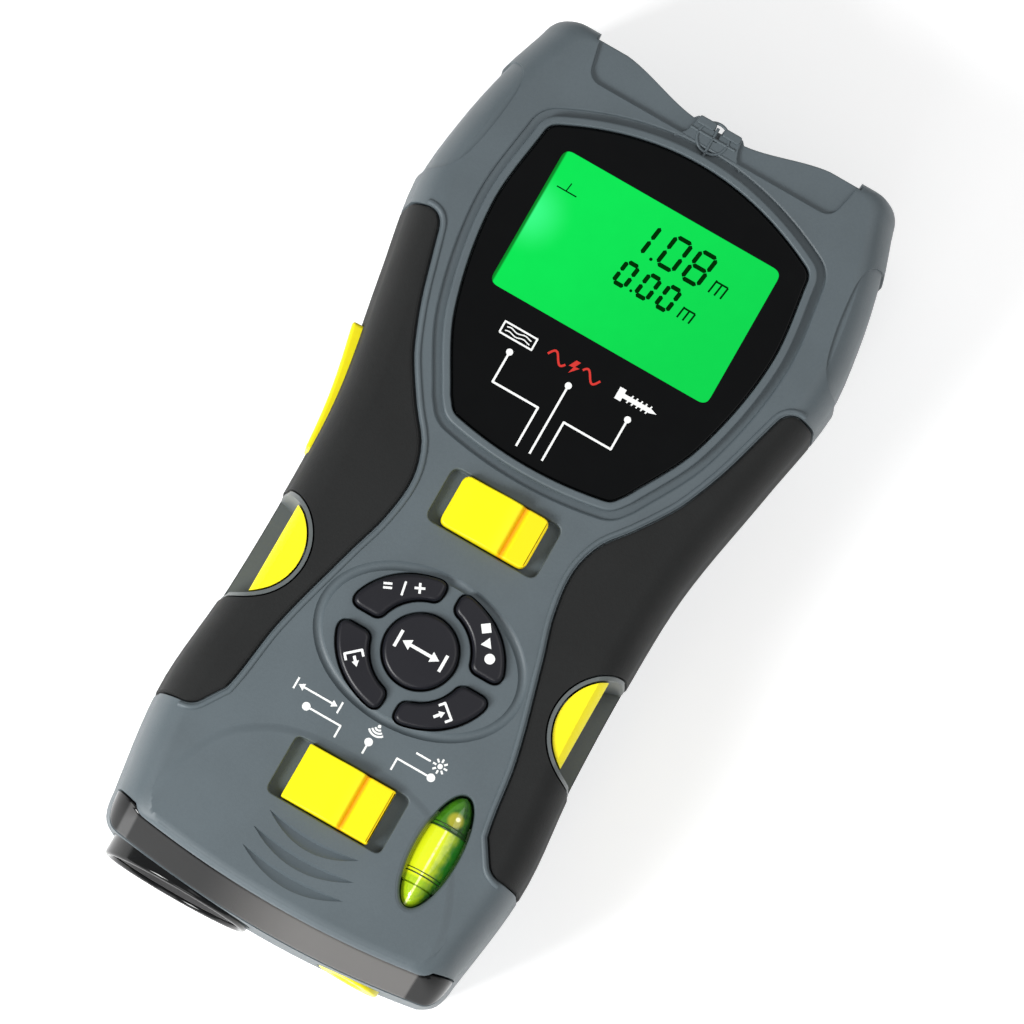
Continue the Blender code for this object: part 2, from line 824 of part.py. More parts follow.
def front_cover():
    cover = casing("front_cover")
    ridge_outer = grown(window_outline(), window_ridge)
    ridge = plate("window_rim", [ridge_outer], body_depth - 0.5 * MM, body_depth + ridge_height)
    soften(ridge, 0.5 * MM, 60)
    cavity = casing("front_cavity", inset=wall, low=back_wall, high=underside,
                    head_extra=head_dip)
    below = block("below_parting", (-beyond, -beyond, -over), (beyond, beyond, parting + fit_gap / 2))
    band_room = block("band_room", (-beyond, -beyond, parting - over),
                      (beyond, y_at(band_length + fit_gap), band_top))
    solids = [ridge]
    holes = []
    for x, y in post_places():
        solids.append(rod("front_post", front_post_radius, (x, y, parting - over), (x, y, underside + over)))
        holes.append(rod("front_post_hole", screw_bore, (x, y, parting - 2 * over),
                         (x, y, underside - 0.5 * MM), 10))
    for x, y in board_post_places():
        solids.append(rod("board_post", board_post_radius, (x, y, board_top + fit_gap),
                          (x, y, underside + 0.4 * MM), 12))
        holes.append(rod("board_post_hole", board_screw_radius + 0.2 * MM, (x, y, board_top - over),
                         (x, y, underside - 0.5 * MM), 10))
    vial_hole = ellipse((vial_offset, y_at(lower_slot_station)), vial_window, 24)
    side_panels = skin_pocket("side_panels", side_panel_depth)
    panel_area = panel_blocks("front_panel_area")
    keep(side_panels, panel_area)
    cut(cover, cavity, below)
    join(cover, *solids)
    cut(cover, below, *window_cutters(), *keypad_cutters())
    cut(cover, *slot_cutters("lower", lower_slot_station, lower_slot, lower_slider_width))
    cut(cover, *slot_cutters("upper", upper_slot_station, upper_slot, upper_slider_width))
    cut(cover, plate("vial_opening", [vial_hole], underside - over, body_depth + over))
    cut(cover, *[crescent(index) for index in range(3)])
    cut(cover, head_plate_cutter())
    join(cover, sight_boss())
    cut(cover, head_dip_cutter(), sight_notch(), *holes, band_room, side_panels)
    for sign, side in ((-1, "left"), (1, "right")):
        cut(cover, grip_space(side + "_grip_pocket", grip_thickness + fit_gap, fit_gap, sign))
        cut(cover, cup_cutter(side + "_cup_room", sign, cup_radius, parting - over))
    return finish(cover, grey_shell)


def panel_blocks(name):
    """Two boxes that bound the shallow panels on the sides of the head."""
    low = y_at(body_length * 0.792)
    high = y_at(body_length * 0.925)
    inner = half_width(body_length * 0.86) * 0.84
    boxes = []
    for sign in (-1, 1):
        edges = sorted((sign * inner, sign * beyond))
        boxes.append(block(name, (edges[0], low, 8 * MM), (edges[1], high, body_depth - 2.5 * MM)))
    return join(boxes[0], boxes[1])


def rear_cover():
    cover = casing("rear_cover")
    above = block("above_parting", (-beyond, -beyond, parting - fit_gap / 2), (beyond, beyond, beyond))
    cavity = casing("rear_cavity", inset=wall, low=back_wall, high=underside, head_extra=head_dip)
    solids = []
    holes = []
    for x, y in post_places():
        solids.append(rod("rear_post", post_radius, (x, y, back_wall - over), (x, y, parting - fit_gap / 2)))
        holes.append(rod("counterbore", screw_head[0] + 0.4 * MM, (x, y, -over), (x, y, screw_seat), 16))
        holes.append(rod("screw_passage", screw_bore + 0.1 * MM, (x, y, screw_seat - over),
                         (x, y, parting + over), 10))
    barrel_x, barrel_z = barrel_place()
    end = y_at(-5 * MM)
    holes.append(rod("barrel_hole", barrel_radius + fit_gap, (barrel_x, end, barrel_z),
                     (barrel_x, y_at(barrel_depth), barrel_z), 32))
    holes.append(rod("laser_hole", laser_ring_radius + fit_gap, (laser_offset, end, laser_height()),
                     (laser_offset, y_at(wall + 6 * MM), laser_height()), 24))
    for sign in (-1, 1):
        x = cup_centre(sign)[0] - sign * pin_inset
        holes.append(rod("pin_hole", pin_radius + pin_play, (x, y_at(cup_station), -over),
                         (x, y_at(cup_station), back_wall + over), 10))
    side_panels = skin_pocket("rear_side_panels", side_panel_depth)
    keep(side_panels, panel_blocks("rear_panel_area"))
    cut(cover, cavity)
    join(cover, *solids)
    cut(cover, above, head_dip_cutter(), *holes, side_panels, *door_cutters(), trigger_window())
    for sign, side in ((-1, "left"), (1, "right")):
        cut(cover, grip_space(side + "_rear_pocket", grip_thickness + fit_gap, fit_gap, sign))
        low = body_depth - cup_drop - cup_floor - fit_gap
        cut(cover, cup_cutter(side + "_rear_cup_room", sign, cup_radius, low))
    return finish(cover, grey_shell)


def end_band():
    """Glossy dark band that closes the sensor end between the two covers."""
    band = casing("end_band")
    inner = casing("band_core", inset=band_wall, low=back_wall, high=body_depth - 0.2 * MM)
    room = block("band_space", (-beyond, -beyond, parting + fit_gap / 2),
                 (beyond, y_at(band_length), band_top - fit_gap))
    keep(band, room)
    cut(band, inner)
    return finish(band, black_gloss)


def grips():
    made = []
    for sign, side in ((-1, "left"), (1, "right")):
        region = grip_region(0.0)
        if sign > 0:
            region = flipped(region)
        grip = casing(side + "_grip")
        keep(grip, plate(side + "_grip_area", [region], grip_low, body_depth + over))
        cut(grip, casing(side + "_grip_core", inset=grip_thickness, low=-over,
                         high=body_depth - grip_thickness))
        low = body_depth - cup_drop - cup_floor - fit_gap
        cut(grip, cup_cutter(side + "_grip_cup_room", sign, cup_radius, low))
        if sign < 0:
            cut(grip, trigger_window())
        made.append(finish(grip, black_rubber))
    return made


# ---------------------------------------------------------------- display

def display():
    centre = (0, y_at(display_station))
    cell = (display_view[0] + 2 * display_border, display_view[1] + 2 * display_border)
    lens = plate("window_lens", [grown(window_outline(), -fit_gap)], lens_seat + fit_gap,
                 body_depth + lens_rise)
    soften(lens, 0.35 * MM)
    finish(lens, black_gloss)
    cell_top = underside - fit_gap
    cell_low = cell_top - cell_thickness
    glass = plate("lcd_cell", [rectangle(centre, cell)], cell_low, cell_top)
    finish(glass, display_green)
    light_size = (cell[0], cell[1] - 5 * MM)
    light_centre = (0, centre[1] + 2.5 * MM)
    light = plate("lcd_backlight", [rectangle(light_centre, light_size)], board_top + fit_gap,
                  cell_low - fit_gap)
    finish(light, white_plastic)
    strip_y = centre[1] - cell[1] / 2
    strip = block("lcd_connector", (-cell[0] / 2 + 2 * MM, strip_y + 0.5 * MM, board_top + fit_gap),
                  (cell[0] / 2 - 2 * MM, strip_y + 3.5 * MM, cell_low - fit_gap))
    finish(strip, pale_rubber)
    inner = (cell[0] + 2 * fit_gap, cell[1] + 2 * fit_gap)
    outer = (inner[0] + 2 * frame_wall, inner[1] + 2 * frame_wall)
    frame = plate("lcd_frame", [rectangle(centre, outer), rectangle(centre, inner)],
                  board_top + fit_gap, cell_top)
    finish(frame, black_matte)


def main_board():
    """Circuit board that hangs under the front cover, narrow between the pin cups."""
    neck = min(abs(cup_centre(1)[0]) - cup_radius - 0.8 * MM, half_width(cup_station) - 10 * MM)
    head = window_half + 0.2 * MM
    head_start = board_post_places()[0][1] - 4 * MM
    half = [(neck, y_at(band_length + 2 * MM)), (neck, head_start - 6 * MM), (head, head_start),
            (head, y_at(window_end) - 3 * MM)]
    loop = half + [(-x, y) for x, y in reversed(half)]
    board = plate("main_board", [loop], board_low, board_top)
    for x, y in board_post_places():
        cut(board, rod("board_hole", board_screw_radius + 0.3 * MM, (x, y, board_low - over),
                       (x, y, board_top + over), 12))
    finish(board, board_green)
    chip = block("controller_chip", (-6 * MM, y_at(window_start) - 1 * MM, board_top + fit_gap),
                 (6 * MM, y_at(window_start) + 11 * MM, board_top + 1.7 * MM))
    finish(chip, black_matte)


# ---------------------------------------------------------------- keys and sliders

def key(name, outline):
    """A key cap with a flange that stops it under the cover."""
    centre = sum((Vector(point) for point in outline), Vector((0, 0))) / len(outline)
    cap = plate(name, [outline], flange_low + key_flange_height / 2, body_depth + key_rise)
    soften(cap, 0.45 * MM)
    join(cap, plate(name + "_flange", [grown(outline, key_flange)], flange_low, flange_top))
    return finish(cap, key_black, (centre.x, centre.y, body_depth))


def keys():
    names = {(-1, 1): "key_add", (1, 1): "key_mode", (-1, -1): "key_recall", (1, -1): "key_store"}
    for (sign_x, sign_y), name in names.items():
        key(name, sector_outline(sign_x, sign_y))
    key("key_read", ellipse((0, y_at(keypad_station)), (read_key_radius, read_key_radius), 24))
    mat = plate("key_mat", [rounded(rectangle((0, y_at(keypad_station)), keypad), 4 * MM)],
                mat_top - mat_thickness, mat_top)
    finish(mat, pale_rubber)


def slider(name, station, slot, width, hump_place, groove_place):
    """A slider cap with a thumb hump, a stem through the face and a foot that keeps it there."""
    length = slot[1] - 2 * run_gap
    low = body_depth - slot_depth
    edge = body_depth + slider_rise
    profile = [(-width / 2, low), (width / 2, low), (width / 2, edge - 0.3 * MM), (width / 2 - 0.5 * MM, edge)]
    for index in range(1, 12):
        x = width / 2 - 0.5 * MM - (width - 1.0 * MM) * index / 12
        bump = slider_hump * math.exp(-((x - hump_place) / (width * 0.24)) ** 2)
        dent = 0.7 * MM * math.exp(-((x - groove_place) / (width * 0.05)) ** 2)
        profile.append((x, edge + bump - dent))
    profile += [(-width / 2 + 0.5 * MM, edge), (-width / 2, edge - 0.3 * MM)]
    cap = tipped(plate(name, [profile], -length / 2, length / 2))
    moved(cap, (0, y_at(station), 0))
    foot_top = underside - fit_gap
    foot = (stem[0] + 2 * stem_foot, stem[1] + 2 * run_gap + 2 * stem_foot)
    centre = (0, y_at(station))
    tip_low = board_top + 2 * fit_gap + 0.3 * MM
    join(cap, plate(name + "_stem", [rectangle(centre, stem)], tip_low, low + 0.8 * MM))
    join(cap, plate(name + "_foot", [rectangle(centre, foot)], foot_top - foot_height, foot_top))
    finish(cap, yellow_plastic, (0, y_at(station), body_depth))


def slide_switch(name, station, slot, width):
    """The switch body on the board that a slider's stem works."""
    travel = (slot[0] - width) / 2 - run_gap
    centre = (0, y_at(station))
    low = board_top + fit_gap
    body = plate(name, [rectangle(centre, switch_size)], low, low + switch_height)
    opening = (stem[0] + 2 * travel + 2 * run_gap, stem[1] + 2 * run_gap)
    cut(body, plate(name + "_slot", [rectangle(centre, opening)], low + 0.3 * MM, low + 2 * switch_height))
    finish(body, steel)


def sliders():
    lower_y = lower_slot_station
    slider("lower_slider", lower_y, lower_slot, lower_slider_width, -0.6 * MM, 3.0 * MM)
    slide_switch("lower_switch", lower_y, lower_slot, lower_slider_width)
    slider("upper_slider", upper_slot_station, upper_slot, upper_slider_width, -1.0 * MM, 4.2 * MM)
    slide_switch("upper_switch", upper_slot_station, upper_slot, upper_slider_width)


# ---------------------------------------------------------------- side trigger

def trigger_stations(extra=0.0):
    half = trigger_length / 2 + extra
    return [trigger_station - half + 2 * half * index / 4 for index in range(5)]


def trigger_window():
    """Opening in the left side for the trigger."""
    half = trigger_length / 2 + run_gap
    height = trigger_height / 2 + run_gap
    return block("trigger_window",
                 (-body_half - 10 * MM, y_at(trigger_station - half), trigger_middle - height),
                 (-body_half / 2, y_at(trigger_station + half), trigger_middle + height))


def side_trigger():
    """A long bar that stands proud of the left side, with a flange behind the wall."""
    outer = []
    inner = []
    for index, station in enumerate(trigger_stations()):
        proud = trigger_proud[0] + (trigger_proud[1] - trigger_proud[0]) * index / 4
        outer.append((-half_width(station) - proud, y_at(station)))
        inner.append((-half_width(station) + wall + fit_gap + trigger_flange / 2, y_at(station)))
    bar = plate("side_trigger", [outer + inner[::-1]], trigger_middle - trigger_height / 2,
                trigger_middle + trigger_height / 2)
    soften(bar, 0.5 * MM)
    near = []
    far = []
    reach = wall + fit_gap + side_draft * (1 - (trigger_middle - trigger_height / 2) / widest_height)
    for station in trigger_stations(1.2 * MM):
        near.append((-half_width(station) + reach + fit_gap, y_at(station)))
        far.append((-half_width(station) + reach + fit_gap + trigger_flange, y_at(station)))
    flange = plate("trigger_flange", [near + far[::-1]], trigger_middle - trigger_height / 2 - 1.2 * MM,
                   trigger_middle + trigger_height / 2 + 1.2 * MM)
    join(bar, flange)
    finish(bar, yellow_plastic, (-half_width(trigger_station), y_at(trigger_station), trigger_middle))


def trigger_switch():
    """A small upright board with the switch that the trigger presses."""
    y = y_at(trigger_station)
    near = -half_width(trigger_station) + wall + 4 * fit_gap + trigger_flange + trigger_travel
    near += (half_width(trigger_station) - half_width(trigger_station - trigger_length / 2))
    switch = block("trigger_switch", (near, y - 3 * MM, trigger_middle - 3 * MM),
                   (near + 3.2 * MM, y + 3 * MM, trigger_middle + 3 * MM))
    finish(switch, black_matte)
    far = near + 3.2 * MM + fit_gap
    board = block("trigger_board", (far, y - 8 * MM, back_wall + fit_gap),
                  (far + 1.2 * MM, y + 8 * MM, trigger_middle + 5 * MM))
    finish(board, board_green)


# ---------------------------------------------------------------- wall pins

def pin_unit(sign, side):
    """A half-moon button in a round recess that drives a steel wall pin out of the back."""
    x, y = cup_centre(sign)
    floor = body_depth - cup_drop
    cup = cup_cutter(side + "_pin_cup", sign, cup_radius - fit_gap, floor - cup_floor)
    keep(cup, casing(side + "_cup_bound", inset=0.25 * MM, low=-over, high=body_depth - 0.25 * MM))
    cut(cup, cup_cutter(side + "_cup_hollow", sign, cup_radius - fit_gap - cup_wall, floor))
    pin_x = x - sign * pin_inset
    cut(cup, rod(side + "_cup_pin_hole", pin_radius + pin_play, (pin_x, y, floor - cup_floor - over),
                 (pin_x, y, floor + over), 16))
    finish(cup, grey_inside)

    chord = math.acos(pin_button_chord / pin_button_radius)
    outline = []
    for index in range(21):
        angle = chord - 2 * chord * index / 20
        outline.append((x - sign * pin_button_radius * math.cos(angle),
                        y + pin_button_radius * math.sin(angle)))
    under = body_depth - pin_button_drop
    button = plate(side + "_pin_button", [outline], under, body_depth + over)
    keep(button, casing(side + "_button_bound", inset=0.8 * MM, low=-over, high=body_depth - 0.8 * MM))
    finish(button, yellow_plastic, (pin_x, y, under))

    head_top = under - fit_gap
    head_low = head_top - pin_head[1]
    profile = [(0, pin_tip), (pin_radius * 0.15, pin_tip), (pin_radius, pin_tip + 2.6 * MM),
               (pin_radius, head_low), (pin_head[0], head_low), (pin_head[0], head_top), (0, head_top)]
    pin = turned(side + "_wall_pin", profile, (pin_x, y, 0), (0, 0, 1), 16)
    finish(pin, steel, (pin_x, y, under))

    low = floor + fit_gap + spring_wire
    high = head_low - fit_gap - spring_wire
    points = []
    for index in range(spring_turns * 8 + 1):
        angle = 2 * math.pi * index / 8
        height = low + (high - low) * index / (spring_turns * 8)
        points.append((pin_x + spring_radius * math.cos(angle), y + spring_radius * math.sin(angle), height))
    finish(wire(side + "_pin_spring", points, spring_wire), steel)


# ---------------------------------------------------------------- bubble vial

def vial():
    """A spindle-shaped acrylic vial that shows through an almond opening."""
    radius = vial_window[0] - vial_gap
    reach = vial_window[1] - vial_gap
    middle = Vector((vial_offset, y_at(lower_slot_station), body_depth + vial_rise - radius))

    def profile(start, end, steps, grow=0.0):
        points = []
        for index in range(steps + 1):
            along = start + (end - start) * index / steps
            share = min(abs(along) / reach, 1.0)
            points.append(((radius + grow) * math.sqrt(1 - share ** 2), along))
        return points

    bore_end = vial_cut - 0.6 * MM
    body_profile = [(0, bore_end), (vial_bore, bore_end), (vial_bore, -vial_cut)]
    body_profile += profile(-vial_cut, reach, 8)
    finish(turned("vial_body", body_profile, middle, (0, 1, 0), 20), vial_green)

    stub = vial_bore - 0.3 * MM
    plug_low = -vial_cut - fit_gap
    plug_profile = [(0, -vial_cut + 1.2 * MM), (stub, -vial_cut + 1.2 * MM), (stub, plug_low)]
    plug_profile += profile(plug_low, -reach, 3)
    finish(turned("vial_plug", plug_profile, middle, (0, 1, 0), 20), vial_green)

    bubble_middle = middle + Vector((0, 0, vial_bore - bubble[0] - 0.2 * MM))
    points = []
    for index in range(7):
        angle = -math.pi / 2 + math.pi * index / 6
        points.append((bubble[0] * math.cos(angle), bubble[1] * math.sin(angle)))
    finish(turned("vial_bubble", points, bubble_middle, (0, 1, 0), 12), clear_air, bubble_middle)

    cradle = block("vial_cradle",
                   (middle.x - radius - 1.0 * MM, middle.y - vial_cut + fit_gap, board_top + fit_gap),
                   (middle.x + radius + 1.0 * MM, middle.y + vial_cut - fit_gap, underside - fit_gap))
    spindle = turned("vial_seat", profile(-reach, reach, 10, 2 * fit_gap), middle, (0, 1, 0), 20)
    clear = ellipse((middle.x, middle.y), (radius + fit_gap, reach * 0.86), 20)
    cut(cradle, spindle, plate("vial_clear", [clear], middle.z, underside + over))
    finish(cradle, white_plastic)


# ---------------------------------------------------------------- sensor end

def sensors():
    x, z = barrel_place()
    mouth = (x, y_at(-barrel_reach), z)
    inner = barrel_radius - barrel_wall
    profile = [(inner, 0.6 * MM), (inner + 0.6 * MM, 0), (barrel_radius - 0.6 * MM, 0),
               (barrel_radius, 0.6 * MM), (barrel_radius, barrel_depth), (inner, barrel_depth)]
    finish(turned("ultrasonic_barrel", profile, mouth, (0, 1, 0), 32, closed=True), black_gloss)

    rim = inner - fit_gap
    profile = [(rim - 0.4 * MM, 0.8 * MM), (rim, 0.8 * MM), (rim, 2.2 * MM)]
    inside = [(rim - 0.6 * MM, 1.2 * MM)]
    for index in range(1, 5):
        t = index / 4
        flare = horn_throat + (rim - horn_throat) * (1 - t) ** 1.6
        profile.append((flare + horn_wall if t < 1 else horn_throat + horn_wall, 2.2 * MM + horn_depth * t))
        inside.append((flare - 0.2 * MM, 1.2 * MM + (horn_depth + 1.0 * MM) * t))
    finish(turned("ultrasonic_horn", profile + inside[::-1], mouth, (0, 1, 0), 24, closed=True), black_matte)

    start = 2.2 * MM + horn_depth + fit_gap
    can = [(0, start), (transducer[0] - 0.5 * MM, start), (transducer[0], start + 0.5 * MM),
           (transducer[0], start + transducer[1]), (0, start + transducer[1])]
    finish(turned("ultrasonic_transducer", can, mouth, (0, 1, 0), 28), steel)

    face = end_bow_radius - math.sqrt(end_bow_radius ** 2 - laser_offset ** 2) + end_draft / 2
    aim = (laser_offset, y_at(face - laser_ring_proud), laser_height())
    ring = [(laser_hole, 0.4 * MM), (laser_hole + 0.4 * MM, 0), (laser_ring_radius - 0.5 * MM, 0),
            (laser_ring_radius, 0.5 * MM), (laser_ring_radius, 3.4 * MM), (laser_hole, 3.4 * MM)]
    finish(turned("laser_ring", ring, aim, (0, 1, 0), 24, closed=True), yellow_plastic)
    lens_radius = laser_hole - fit_gap
    lens = [(0, 1.4 * MM), (lens_radius * 0.6, 1.55 * MM), (lens_radius, 2.0 * MM), (lens_radius, 3.0 * MM),
            (0, 3.0 * MM)]
    finish(turned("laser_lens", lens, aim, (0, 1, 0), 16), black_gloss)
    length = laser_module_size[1]
    start = 3.4 * MM + fit_gap
    module = [(0, start + 0.6 * MM), (1.5 * MM, start + 0.6 * MM), (1.5 * MM, start),
              (laser_module_size[0], start), (laser_module_size[0], start + length), (0, start + length)]
    finish(turned("laser_module", module, aim, (0, 1, 0), 16), brass)


def inner_parts():
    """Buzzer and the stud detector in the head."""
    top = back_wall + fit_gap
    x = battery_size[0] / 2 + 8.0 * MM
    y = y_at(low_post_station) + 11 * MM
    profile = [(0, top), (6.0 * MM, top), (6.0 * MM, top + 3 * MM), (1.0 * MM, top + 3 * MM),
               (1.0 * MM, top + 2 * MM), (0, top + 2 * MM)]
    finish(turned("buzzer", profile, (x, y, 0), (0, 0, 1), 24), black_matte)
    low = door_end + 8 * MM
    high = window_end - 6 * MM
    middle = y_at((low + high) / 2)
    half = window_half - 2 * MM
    board = block("detector_board", (-half, y_at(low), top), (half, y_at(high), top + 1.2 * MM))
    finish(board, board_green)
    base = top + 1.2 * MM + fit_gap
    ring = [(8 * MM, base), (11 * MM, base), (11 * MM, base + 3 * MM), (8 * MM, base + 3 * MM)]
    finish(turned("detector_coil", ring, (0, middle, 0), (0, 0, 1), 24, closed=True), copper)


# ---------------------------------------------------------------- battery and door

def battery():
    low = door_inset + door_thickness + fit_gap
    half = battery_size[0] / 2
    start = y_at(battery_station)
    end = start + battery_size[1]
    cell = block("battery", (-half, start, low), (half, end, low + battery_size[2]))
    soften(cell, 1.4 * MM)
    middle = low + battery_size[2] / 2
    for sign, radius in ((-1, 2.9 * MM), (1, 3.6 * MM)):
        join(cell, rod("battery_stud", radius, (sign * 6.35 * MM, end - over, middle),
                       (sign * 6.35 * MM, end + 2.4 * MM, middle), 16))
    finish(cell, black_matte)
    snap = block("battery_snap", (-12.5 * MM, end + fit_gap, middle - 6 * MM),
                 (12.5 * MM, end + 3.2 * MM, middle + 6 * MM))
    for sign, radius in ((-1, 3.3 * MM), (1, 4.0 * MM)):
        cut(snap, rod("snap_hole", radius, (sign * 6.35 * MM, end - over, middle),
                      (sign * 6.35 * MM, end + 2.7 * MM, middle), 16))
    finish(snap, black_matte)


def hinge_axis():
    return y_at(door_start), door_inset + door_thickness / 2


def door_cutters():
    """Recess for the battery door, the way in for the battery and the two open hinge seats."""
    axis_y, axis_z = hinge_axis()
    start = axis_y - door_thickness / 2 - fit_gap
    side = door_half + fit_gap
    recess = block("door_recess", (-side, start, -over),
                   (side, y_at(door_end) + fit_gap, door_inset + door_thickness + fit_gap))
    half = battery_size[0] / 2 + door_opening_side
    way_in = block("battery_way", (-half, y_at(battery_station - 1.5 * MM), -over),
                   (half, y_at(battery_station) + battery_size[1] + 1.0 * MM, back_wall + over))
    reach = hinge_stub[1] + 2 * fit_gap
    gap = hinge_stub[0] + fit_gap
    seats = block("hinge_seats", (-door_half - reach, axis_y - gap, -over),
                  (door_half + reach, axis_y + gap, axis_z + gap))
    nail = block("door_nail_notch", (-6 * MM, y_at(door_end) - over, -over),
                 (6 * MM, y_at(door_end) + 3 * MM, 1.2 * MM))
    return recess, way_in, seats, nail


def battery_door():
    axis_y, axis_z = hinge_axis()
    low = door_inset
    high = door_inset + door_thickness
    door = block("battery_door", (-door_half, axis_y, low), (door_half, y_at(door_end), high))
    join(door, rod("door_edge", door_thickness / 2 - 0.01 * MM, (-door_half, axis_y, axis_z),
                   (door_half, axis_y, axis_z), 16))
    reach = door_half + hinge_stub[1]
    join(door, rod("door_stubs", hinge_stub[0], (-reach, axis_y, axis_z), (reach, axis_y, axis_z), 12))
    finish(door, grey_shell, (0, axis_y, axis_z))


# ---------------------------------------------------------------- screws

def screws():
    for index, (x, y) in enumerate(post_places()):
        under = screw_seat - fit_gap
        head, height = screw_head
        profile = [(0, under - height + 0.8 * MM), (0.9 * MM, under - height + 0.8 * MM),
                   (0.9 * MM, under - height), (head - 0.4 * MM, under - height),
                   (head, under - height + 0.4 * MM), (head, under), (screw_shaft, under),
                   (screw_shaft, underside - 2.2 * MM), (0, underside - 1.2 * MM)]
        finish(turned("case_screw_%d" % (index + 1), profile, (x, y, 0), (0, 0, 1), 12), steel)
    for index, (x, y) in enumerate(board_post_places()):
        under = board_low - fit_gap
        profile = [(0, under - 0.8 * MM), (0.5 * MM, under - 0.8 * MM), (0.5 * MM, under - 1.3 * MM),
                   (1.7 * MM, under - 1.3 * MM), (2.0 * MM, under), (board_screw_radius, under),
                   (board_screw_radius, underside - 1.6 * MM), (0, underside - 0.9 * MM)]
        finish(turned("board_screw_%d" % (index + 1), profile, (x, y, 0), (0, 0, 1), 10), steel)


def main():
    global parts, tools
    for item in list(bpy.data.objects):
        bpy.data.objects.remove(item)
    parts = bpy.data.collections.new("laser_distance_meter")
    tools = bpy.data.collections.new("cutters")
    bpy.context.scene.collection.children.link(parts)
    bpy.context.scene.collection.children.link(tools)
    display()
    main_board()
    keys()
    sliders()
    side_trigger()
    trigger_switch()
    pin_unit(-1, "left")
    pin_unit(1, "right")
    vial()
    sensors()
    inner_parts()
    battery()
    battery_door()
    screws()
    end_band()
    grips()
    rear_cover()
    front_cover()


main()
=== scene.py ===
"""Looks of a hand-held laser and ultrasonic distance meter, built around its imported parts.

Shapes are worked out in millimetres and turned to metres when a piece is finished.  X runs across the
meter, +Y towards the detector head and +Z out of the display face.
"""
import json
import math

import bmesh
import bpy
from mathutils import Matrix, Vector


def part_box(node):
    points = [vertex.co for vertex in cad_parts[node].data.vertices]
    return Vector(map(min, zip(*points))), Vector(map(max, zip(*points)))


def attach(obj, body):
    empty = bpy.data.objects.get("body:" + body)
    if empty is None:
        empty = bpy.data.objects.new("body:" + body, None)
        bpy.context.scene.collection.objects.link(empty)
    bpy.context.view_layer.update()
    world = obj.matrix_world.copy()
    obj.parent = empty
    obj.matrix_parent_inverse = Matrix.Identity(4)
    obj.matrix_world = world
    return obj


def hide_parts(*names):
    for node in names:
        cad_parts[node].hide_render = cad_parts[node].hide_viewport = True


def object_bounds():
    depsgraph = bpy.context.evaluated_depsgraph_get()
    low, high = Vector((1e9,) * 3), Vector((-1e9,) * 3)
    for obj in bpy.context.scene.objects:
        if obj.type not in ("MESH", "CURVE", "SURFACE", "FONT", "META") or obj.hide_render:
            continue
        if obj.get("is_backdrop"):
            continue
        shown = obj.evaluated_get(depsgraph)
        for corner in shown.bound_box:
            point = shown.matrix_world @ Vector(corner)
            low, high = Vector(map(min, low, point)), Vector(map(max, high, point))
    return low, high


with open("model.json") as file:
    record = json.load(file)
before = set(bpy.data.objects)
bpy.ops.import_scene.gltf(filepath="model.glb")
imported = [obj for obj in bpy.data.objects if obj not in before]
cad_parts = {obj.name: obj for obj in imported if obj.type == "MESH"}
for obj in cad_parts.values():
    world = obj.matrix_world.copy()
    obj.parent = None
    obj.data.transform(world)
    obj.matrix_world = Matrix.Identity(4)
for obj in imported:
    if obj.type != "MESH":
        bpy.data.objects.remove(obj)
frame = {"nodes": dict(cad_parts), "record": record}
CAD_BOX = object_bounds()

bl_info = {
    "name": "Laser distance meter",
    "version": (1, 0, 0),
    "blender": (4, 5, 0),
    "location": "3D View > Sidebar > Meter",
    "description": "Builds the pieces, finishes and studio of a hand-held distance meter",
    "category": "Object",
}

MM = 0.001


def box_mm(node):
    """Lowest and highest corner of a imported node, in millimetres."""
    low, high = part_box(node)
    return Vector(low) / MM, Vector(high) / MM


def middle_mm(node):
    low, high = box_mm(node)
    return (low + high) / 2


def srgb(red, green, blue):
    """Scene-linear colour of a display colour given from 0 to 255."""
    result = []
    for value in (red, green, blue):
        share = value / 255
        result.append(share / 12.92 if share <= 0.04045 else ((share + 0.055) / 1.055) ** 2.4)
    return tuple(result)


# ---------------------------------------------------------------- sizes of the casing

GAP = 0.3                      # between pieces that rest against each other
RUN_GAP = 0.35                 # around keys, sliders and buttons
START_Y = box_mm("rear_cover")[0].y
BODY_LENGTH = box_mm("rear_cover")[1].y - START_Y
BODY_HALF = 41.1
BODY_DEPTH = 41.0
FRONT_DEPTH = 9.6
PARTING = BODY_DEPTH - FRONT_DEPTH
WALL = 3.2
UNDERSIDE = 38.0
WIDEST_HEIGHT = 22.0
SIDE_DRAFT = 0.9
UPPER_DRAFT = 0.8
SHOULDER = 5.9
BACK_ROUND = 2.4
END_DRAFT = 1.2
END_BOW_RADIUS = 180.0
END_FLAT = 30.0
END_CORNER = 2.9
HEAD_ROUND = 2.4
HEAD_CORNER = 3.8
HEAD_DIP = 4.9
HEAD_STEP = 1.2
EAR_GAP = 25.5
DIP_HALF = 19.8
PLATE_DROP = 0.8
BAND_SLOPE = 4.2
BAND_TOP = BODY_DEPTH - 1.0
BAND_WALL = 2.2
LOWER_SLOT = (21.8, 10.8)
UPPER_SLOT = (21.1, 10.1)
SLOT_DEPTH = 1.6
LOWER_SLIDER_WIDTH = 16.5
UPPER_SLIDER_WIDTH = 16.4
KEYPAD = (37.7, 27.1)
KEY_RING = (14.5, 12.45)
KEY_CIRCLE = 8.8
KEY_CROSS = 1.45
READ_RADIUS = 6.35
WINDOW_RIDGE = 1.4
RIDGE_HEIGHT = 1.0
GROOVE_WIDTH = 1.5
DISPLAY_VIEW = (42.2, 26.3)
STEM = (4.0, 3.0)
GRIP_THICKNESS = 1.2
GRIP_LOW = 4.5
LENS_THICKNESS = 1.8
HINGE_STUB = 1.3               # length of each stub that the battery door turns on
HINGE_INSET = 0.9              # hinge axis inside the edge of the battery door
